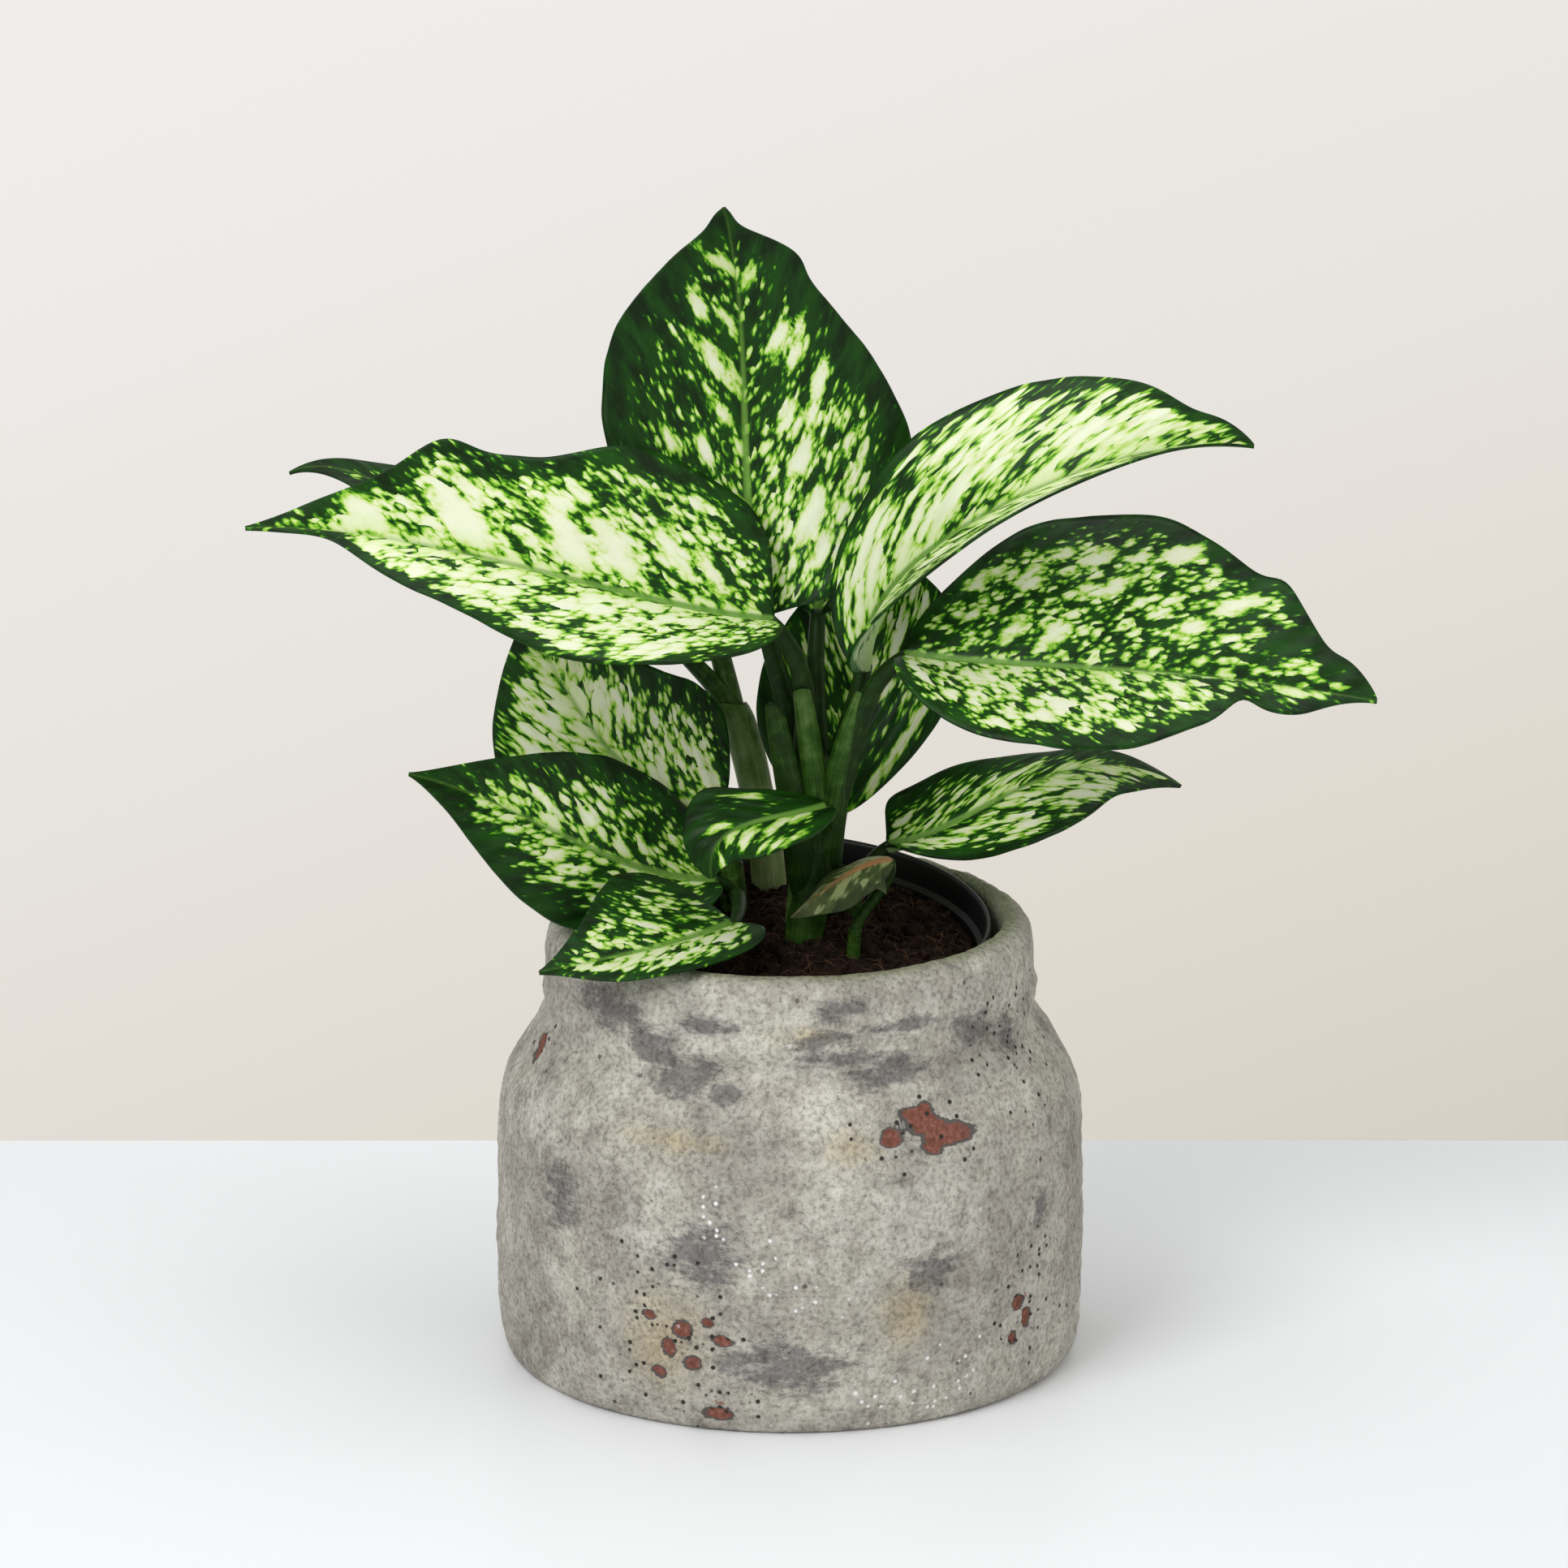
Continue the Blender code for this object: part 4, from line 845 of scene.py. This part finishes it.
def build_jar(material):
    shape = bmesh.new()
    layers = {kind: shape.verts.layers.float.new(kind)
              for kind in ("flake", "pits", "ochre", "soot", "pale", "salt", "algae")}
    section = smooth_section(JAR_PROFILE, jar_spacing)
    verts = [shape.verts.new((0.0, -p.x * MM, p.y * MM)) for p in section]
    edges = [shape.edges.new(pair) for pair in zip(verts[:-1], verts[1:])]
    bmesh.ops.spin(shape, geom=verts + edges, cent=(0, 0, 0), axis=(0, 0, 1), angle=2.0 * math.pi,
                   steps=JAR_STEPS, use_merge=True, use_duplicate=False)
    bmesh.ops.remove_doubles(shape, verts=shape.verts[:], dist=0.00001)
    bmesh.ops.recalc_face_normals(shape, faces=shape.faces[:])
    shape.normal_update()
    moves = []
    for vertex in shape.verts:
        place = vertex.co / MM
        radius = math.hypot(place.x, place.y)
        angle = math.degrees(math.atan2(place.x, -place.y))
        outside = radius > 66.0 and vertex.normal.xy.dot(place.xy) > -0.2 * radius
        for kind, layer in layers.items():
            if kind != "algae" and outside:
                vertex[layer] = mark_strength(kind, angle, place.z)
        mossy = smoothstep(119.0, 131.0, place.z) * (1.0 - smoothstep(64.0, 70.5, radius))
        vertex[layers["algae"]] = mossy
        still = smoothstep(0.0, 2.5, place.z) if radius > 60.0 else 0.0
        height = coat_height(place, angle, place.z, outside) * still
        moves.append((vertex, vertex.normal * height * MM))
    for vertex, move in moves:
        vertex.co += move
    return finish_mesh("crusted_jar", shape, [material])


# %% [markdown]
# The coat's colour is built in the same order as on the real jar: an uneven grey, then stains, then
# grit, pin holes and white salt grains, and last the red clay that shows in the flakes. Pale patches go
# on with the stains: partly the coat's own, partly painted light on the front middle of the jar. The pin
# holes are painted dark, as painted shade in the holes. Each mark is an attribute on the mesh, and fine
# noise (0.6 to 5 mm) frays its rim.

# %% Jar material
crust, crust_shader = new_material("aged_sand_cement_coat_on_terracotta", Roughness=0.92,
                                   Specular_IOR_Level=0.25)
object_place = add_node(crust, "ShaderNodeTexCoord").outputs["Object"]


def crust_noise(size_mm, detail=4.0, roughness=0.6, distortion=0.0):
    return add_node(crust, "ShaderNodeTexNoise",
                    {"Vector": object_place, "Scale": 1000.0 / size_mm, "Detail": detail,
                     "Roughness": roughness, "Distortion": distortion})


def crust_mark(kind, fray, low, high, top=1.0, reach=1.3):
    """A mark's attribute with a frayed rim, as a mixing factor."""
    mark = add_node(crust, "ShaderNodeAttribute", attribute_name=kind).outputs["Fac"]
    rough = add_node(crust, "ShaderNodeMath", {0: fray, 1: -0.5}, operation="ADD")
    ragged = add_node(crust, "ShaderNodeMath", {0: rough, 1: reach, 2: mark}, operation="MULTIPLY_ADD")
    return add_node(crust, "ShaderNodeMapRange",
                    {"Value": ragged, "From Min": low, "From Max": high, "To Min": 0.0, "To Max": top})


def crust_mix(factor, below, above, blend="MIX"):
    if isinstance(below, bpy.types.Node):
        below = below.outputs[2] if below.type == "MIX" else below.outputs[0]
    return add_node(crust, "ShaderNodeMix", {"Factor": factor, 6: below, 7: above},
                    data_type="RGBA", blend_type=blend)


def crust_grains(size_mm, attribute, spare, gain, core, rim):
    """Small round spots: a share of the cells (more where the mark is strong) gets one each."""
    cells = add_node(crust, "ShaderNodeTexVoronoi", {"Vector": object_place, "Scale": 1000.0 / size_mm})
    chance = add_node(crust, "ShaderNodeSeparateXYZ", {0: cells.outputs["Color"]})
    mark = add_node(crust, "ShaderNodeAttribute", attribute_name=attribute).outputs["Fac"]
    chosen = add_node(crust, "ShaderNodeMath", {0: mark, 1: gain, 2: chance}, operation="MULTIPLY_ADD")
    chosen = add_node(crust, "ShaderNodeMapRange",
                      {"Value": chosen, "From Min": 1.0 - spare, "From Max": 1.02 - spare})
    spot = add_node(crust, "ShaderNodeMapRange",
                    {"Value": cells.outputs["Distance"], "From Min": core, "From Max": rim,
                     "To Min": 1.0, "To Max": 0.0})
    return add_node(crust, "ShaderNodeMath", {0: spot, 1: chosen}, operation="MULTIPLY")


broad = crust_noise(28.0, 3.0)
mottle = crust_noise(8.0, 7.0, 0.72)
grain = crust_noise(1.5, 4.0, 0.65)
smear_space = add_node(crust, "ShaderNodeVectorMath", {0: object_place, 1: (1.0, 1.0, 2.4)},
                       operation="MULTIPLY")
smear = add_node(crust, "ShaderNodeTexNoise",
                 {"Vector": smear_space, "Scale": 110.0, "Detail": 6.0, "Roughness": 0.72})
colour = add_node(crust, "ShaderNodeValToRGB", {"Fac": broad},
                  stops=[(0.32, "#b9b6ae"), (0.5, "#d6d3ca"), (0.68, "#eceadf")])
mottle_shade = add_node(crust, "ShaderNodeValToRGB", {"Fac": mottle},
                        stops=[(0.32, "#b5b3af"), (0.48, "#dfddd9"), (0.66, "#ffffff")])
colour = crust_mix(0.85, colour, mottle_shade.outputs[0], "MULTIPLY")
# pale patches: partly the coat's own, partly painted light on the front middle of the jar
colour = crust_mix(crust_mark("pale", mottle, 0.35, 1.0, 0.75), colour, "#e6e3d9")
colour = crust_mix(crust_mark("ochre", mottle, 0.4, 1.1, 0.55), colour, "#c9b37c")
colour = crust_mix(crust_mark("soot", smear, 0.5, 0.78, 0.72, 1.7), colour, "#646365")
colour = crust_mix(crust_mark("algae", mottle, 0.1, 0.9, 0.8), colour, "#858c68")
grain_shade = add_node(crust, "ShaderNodeValToRGB", {"Fac": grain},
                       stops=[(0.3, "#8e8d8a"), (0.42, "#d0cecb"), (0.56, "#ffffff")])
colour = crust_mix(0.75, colour, grain_shade.outputs[0], "MULTIPLY")
clay_spots = add_node(crust, "ShaderNodeAttribute", attribute_name="pits").outputs["Fac"]
clay_spots = add_node(crust, "ShaderNodeMath", {0: clay_spots, 1: 0.44, 2: mottle}, operation="MULTIPLY_ADD")
clay_spots = add_node(crust, "ShaderNodeMapRange", {"Value": clay_spots, "From Min": 1.0, "From Max": 1.03,
                                                    "To Min": 0.0, "To Max": 0.8})
colour = crust_mix(clay_spots, colour, "#946255")
clay = add_node(crust, "ShaderNodeValToRGB", {"Fac": grain},
                stops=[(0.3, "#70483d"), (0.5, "#8a5648"), (0.7, "#a07064")])
colour = crust_mix(crust_mark("flake", smear, 0.46, 0.49, 1.0, 0.7), colour, "#62605d")
colour = crust_mix(crust_mark("flake", smear, 0.57, 0.62, 1.0, 0.8), colour, clay.outputs[0])
# pin holes painted dark: painted shade in the holes, which the bump also sinks
pit_holes = crust_grains(2.2, "pits", 0.02, 0.36, 0.22, 0.36)
colour = crust_mix(pit_holes, colour, "#3a3733")
colour = crust_mix(crust_grains(1.9, "salt", 0.008, 0.3, 0.25, 0.4), colour, "#ffffff")
link(crust, colour.outputs[2], crust_shader.inputs["Base Color"])
relief = add_node(crust, "ShaderNodeMath", {0: mottle, 1: 1.6, 2: grain}, operation="MULTIPLY_ADD")
relief = add_node(crust, "ShaderNodeMath", {0: pit_holes, 1: -0.8, 2: relief}, operation="MULTIPLY_ADD")
bump = add_node(crust, "ShaderNodeBump", {"Strength": 0.9, "Distance": 0.0014, "Height": relief})
link(crust, bump.outputs[0], crust_shader.inputs["Normal"])

# %% Make the jar
jar = build_jar(crust)
place_piece(jar, "crusted_terracotta", "jar")
print("jar:", len(jar.data.polygons), "faces")

# %% [markdown]
# ## The nursery pot and the soil
# The plant was sold in a thin blow-moulded pot of black polypropylene. It leans a little in the jar,
# so its rim shows at the back right. Its section is spun like the jar's.

# %% The nursery pot
NURSERY_LEAN = Matrix.Translation(Vector((-0.6, -0.4, 133.2)) * MM) @ Euler(
    (math.radians(6.0), math.radians(3.5), 0.0)).to_matrix().to_4x4()
NURSERY_PROFILE = [
    (0, -116.4), (42.8, -116.4), (56.6, -9), (58.1, -7.8), (58.4, -1.2), (58.7, -0.3), (59.1, 0),
    (59.6, -0.1), (59.9, -0.5), (60, -1.1), (59.9, -5), (59.7, -9), (57.8, -9.6), (44, -118), (0, -118)]
polypropylene, plastic_shader = new_material("black_polypropylene", Base_Color="#101011",
                                             Roughness=0.42, Specular_IOR_Level=0.45)


def spun(name, section, steps, material):
    shape = bmesh.new()
    verts = [shape.verts.new((0.0, -r * MM, z * MM)) for r, z in section]
    edges = [shape.edges.new(pair) for pair in zip(verts[:-1], verts[1:])]
    bmesh.ops.spin(shape, geom=verts + edges, cent=(0, 0, 0), axis=(0, 0, 1), angle=2.0 * math.pi,
                   steps=steps, use_merge=True, use_duplicate=False)
    bmesh.ops.remove_doubles(shape, verts=shape.verts[:], dist=0.00001)
    bmesh.ops.recalc_face_normals(shape, faces=shape.faces[:])
    return shape


nursery = spun("nursery", NURSERY_PROFILE, 160, polypropylene)
nursery.transform(NURSERY_LEAN)
nursery_pot = finish_mesh("blow_moulded_nursery_pot", nursery, [polypropylene])
nursery_pot.data.set_sharp_from_angle(angle=math.radians(40))
place_piece(nursery_pot, "black_polypropylene", "nursery_pot")

# %% [markdown]
# The growing medium is coir, chopped coconut husk, with some peat: dark brown crumbs and thin pale
# fibres. Its top is a spun disc with lumps from noise. Crumbs are squashed little balls, and fibres
# are thin three-sided tubes, each with only a few dozen faces.

# %% The soil
coir, coir_shader = new_material("coir_and_peat", Roughness=0.95, Specular_IOR_Level=0.15)
coir_place = add_node(coir, "ShaderNodeTexCoord").outputs["Object"]
coir_noise = add_node(coir, "ShaderNodeTexNoise", {"Vector": coir_place, "Scale": 450.0, "Detail": 6.0,
                                                   "Roughness": 0.7})
coir_colour = add_node(coir, "ShaderNodeValToRGB", {"Fac": coir_noise},
                       stops=[(0.3, "#0c0705"), (0.5, "#21150f"), (0.7, "#3f2a1e")])
link(coir, coir_colour.outputs[0], coir_shader.inputs["Base Color"])
coir_bump = add_node(coir, "ShaderNodeBump", {"Strength": 0.8, "Distance": 0.0012, "Height": coir_noise})
link(coir, coir_bump.outputs[0], coir_shader.inputs["Normal"])
coir_fibre, fibre_shader = new_material("coconut_fibre", Base_Color="#553722", Roughness=0.8)

SOIL_EDGE = 55.6
SOIL_TOP = -10.0
SOIL_DOME = 6.0
soil_section = [(SOIL_EDGE * k / 44, SOIL_TOP) for k in range(45)] + [(54.0, -20), (42.2, -116.1), (0, -116.1)]


def soil_height(x, y):
    """Height of the soil's top over the pot's frame, in mm."""
    radius = math.hypot(x, y)
    place = Vector((x, y, 4.0))
    lumps = 2.0 * noise.noise(place / 9.0) + 1.4 * noise.noise(place / 3.6) + 0.6 * noise.noise(place / 1.5)
    calm = 1.0 - 0.6 * smoothstep(SOIL_EDGE - 5.0, SOIL_EDGE, radius)
    return SOIL_TOP + SOIL_DOME * (1.0 - (radius / SOIL_EDGE) ** 2) + lumps * calm


ground = spun("soil", soil_section, 180, coir)
for vertex in ground.verts:
    if vertex.co.z > -0.0105 and vertex.co.xy.length <= SOIL_EDGE * MM + 0.00001:
        vertex.co.z = soil_height(vertex.co.x / MM, vertex.co.y / MM) * MM
ground.transform(NURSERY_LEAN)
soil = finish_mesh("coir_bed", ground, [coir])
place_piece(soil, "coir_and_peat", "soil")

# %% Crumbs and fibres on the soil
dice = random.Random(11)
crumbs = bmesh.new()
for k in range(900):
    radius = (SOIL_EDGE - 1.5) * math.sqrt(dice.random())
    turn = dice.uniform(0.0, 2.0 * math.pi)
    x, y = radius * math.cos(turn), radius * math.sin(turn)
    size = dice.uniform(0.5, 1.9) if k > 60 else dice.uniform(1.8, 3.4)
    made = bmesh.ops.create_icosphere(crumbs, subdivisions=1, radius=size * MM)["verts"]
    squash = Matrix.Diagonal((dice.uniform(0.7, 1.5), dice.uniform(0.7, 1.2), dice.uniform(0.4, 0.9), 1.0))
    tumble = Euler([dice.uniform(0.0, 6.28) for _ in range(3)]).to_matrix().to_4x4()
    spot = Matrix.Translation(Vector((x, y, soil_height(x, y) + 0.25 * size)) * MM)
    bmesh.ops.transform(crumbs, matrix=NURSERY_LEAN @ spot @ tumble @ squash, verts=made)
crumb_pieces = finish_mesh("coir_crumbs", crumbs, [coir], smooth=False)
place_piece(crumb_pieces, "coir_and_peat")

fibres = new_stalk_shape()
for k in range(520):
    radius = (SOIL_EDGE - 2.0) * math.sqrt(dice.random())
    turn = dice.uniform(0.0, 2.0 * math.pi)
    x, y = radius * math.cos(turn), radius * math.sin(turn)
    way = dice.uniform(0.0, 2.0 * math.pi)
    bend = dice.uniform(-0.35, 0.35)
    line = []
    for j in range(6):
        line.append(Vector((x, y, soil_height(x, y) + 0.3 + 0.9 * math.sin(math.pi * j / 5))))
        x += 1.3 * math.cos(way + bend * j)
        y += 1.3 * math.sin(way + bend * j)
        if math.hypot(x, y) > SOIL_EDGE - 0.8:
            break
    if len(line) > 2:
        thick = dice.uniform(0.07, 0.16)
        roll(fibres, line, tapered((thick, thick)), sides=3)
bmesh.ops.remove_doubles(fibres, verts=fibres.verts[:], dist=0.000005)
fibres.transform(NURSERY_LEAN)
fibre_pieces = finish_mesh("coir_fibres", fibres, [coir_fibre])
place_piece(fibre_pieces, "coir_and_peat")

# %% [markdown]
# ## Stage, light and camera
# The plant stands on a white table in front of a pale wall, in soft light from large windows or
# panels. A wide warm-white world stands in for the room and the wall, and big area lights in front and
# above give the soft shape. Where the camera sees the world, its colour darkens towards the table and to
# the right: painted shade on the wall. The camera's place was worked out from the jar's ellipses.

# %% The table
table_top = bmesh.new()
bmesh.ops.create_grid(table_top, x_segments=1, y_segments=1, size=1.0)
bmesh.ops.transform(table_top, matrix=Matrix.Diagonal((3.0, 1.6, 1.0, 1.0)), verts=table_top.verts[:])
bmesh.ops.translate(table_top, vec=(0.0, 0.186 - 1.6, 0.0), verts=table_top.verts[:])
white_laminate, table_shader = new_material("white_laminate", Base_Color="#f4f6f9", Roughness=0.35,
                                            Specular_IOR_Level=0.3)
table = finish_mesh("table_top", table_top, [white_laminate], smooth=False)

# %% Light
world = bpy.data.worlds.new("soft_room")
bpy.context.scene.world = world
world.use_nodes = True
direction = add_node(world, "ShaderNodeTexCoord").outputs["Generated"]
slant = add_node(world, "ShaderNodeVectorMath", {0: direction, 1: (-0.35, 0.0, 1.0)}, operation="DOT_PRODUCT")
lift = add_node(world, "ShaderNodeMapRange", {"Value": slant.outputs["Value"], "From Min": -0.4,
                                              "From Max": 0.6})
# the low stops darken the wall towards the table and to the right: painted shade on the wall
wall_with_painted_shade = add_node(world, "ShaderNodeValToRGB", {"Fac": lift},
                stops=[(0.05, "#d3cdc1"), (0.1, "#e0dad1"), (0.15, "#e8e4df"), (0.22, "#f0eeec"),
                       (0.5, "#eeece9"), (0.9, "#8f8e8c")])
link(world, wall_with_painted_shade.outputs[0], world.node_tree.nodes["Background"].inputs["Color"])


def add_panel(name, place, target, size, power):
    """A large soft light panel that looks at a target."""
    light = bpy.data.lights.new(name, "AREA")
    light.shape = "RECTANGLE"
    light.size, light.size_y = size
    light.energy = power
    panel = bpy.data.objects.new(name, light)
    panel.location = place
    panel.rotation_euler = (Vector(target) - Vector(place)).to_track_quat("-Z", "Y").to_euler()
    bpy.context.scene.collection.objects.link(panel)
    return panel


add_panel("key_panel", (-1.1, -1.5, 1.6), (0.0, 0.0, 0.18), (1.2, 1.2), 30.0)
add_panel("fill_panel", (1.4, -1.2, 1.2), (0.0, 0.0, 0.18), (1.2, 1.2), 3.0)
add_panel("top_panel", (0.0, 0.1, 1.6), (0.0, 0.0, 0.2), (1.4, 1.4), 12.0)

# %% Camera
camera_data = bpy.data.cameras.new("camera")
camera_data.sensor_width = 36.0
camera_data.lens = 11668.0 / 1932.0 * 36.0
camera = bpy.data.objects.new("camera", camera_data)
camera.location = (-0.001691, -2.660154, 0.944370)
camera.rotation_euler = (math.radians(90.0 - 16.2), 0.0, 0.0)
bpy.context.scene.collection.objects.link(camera)
bpy.context.scene.camera = camera
bpy.context.scene.view_settings.view_transform = "Standard"
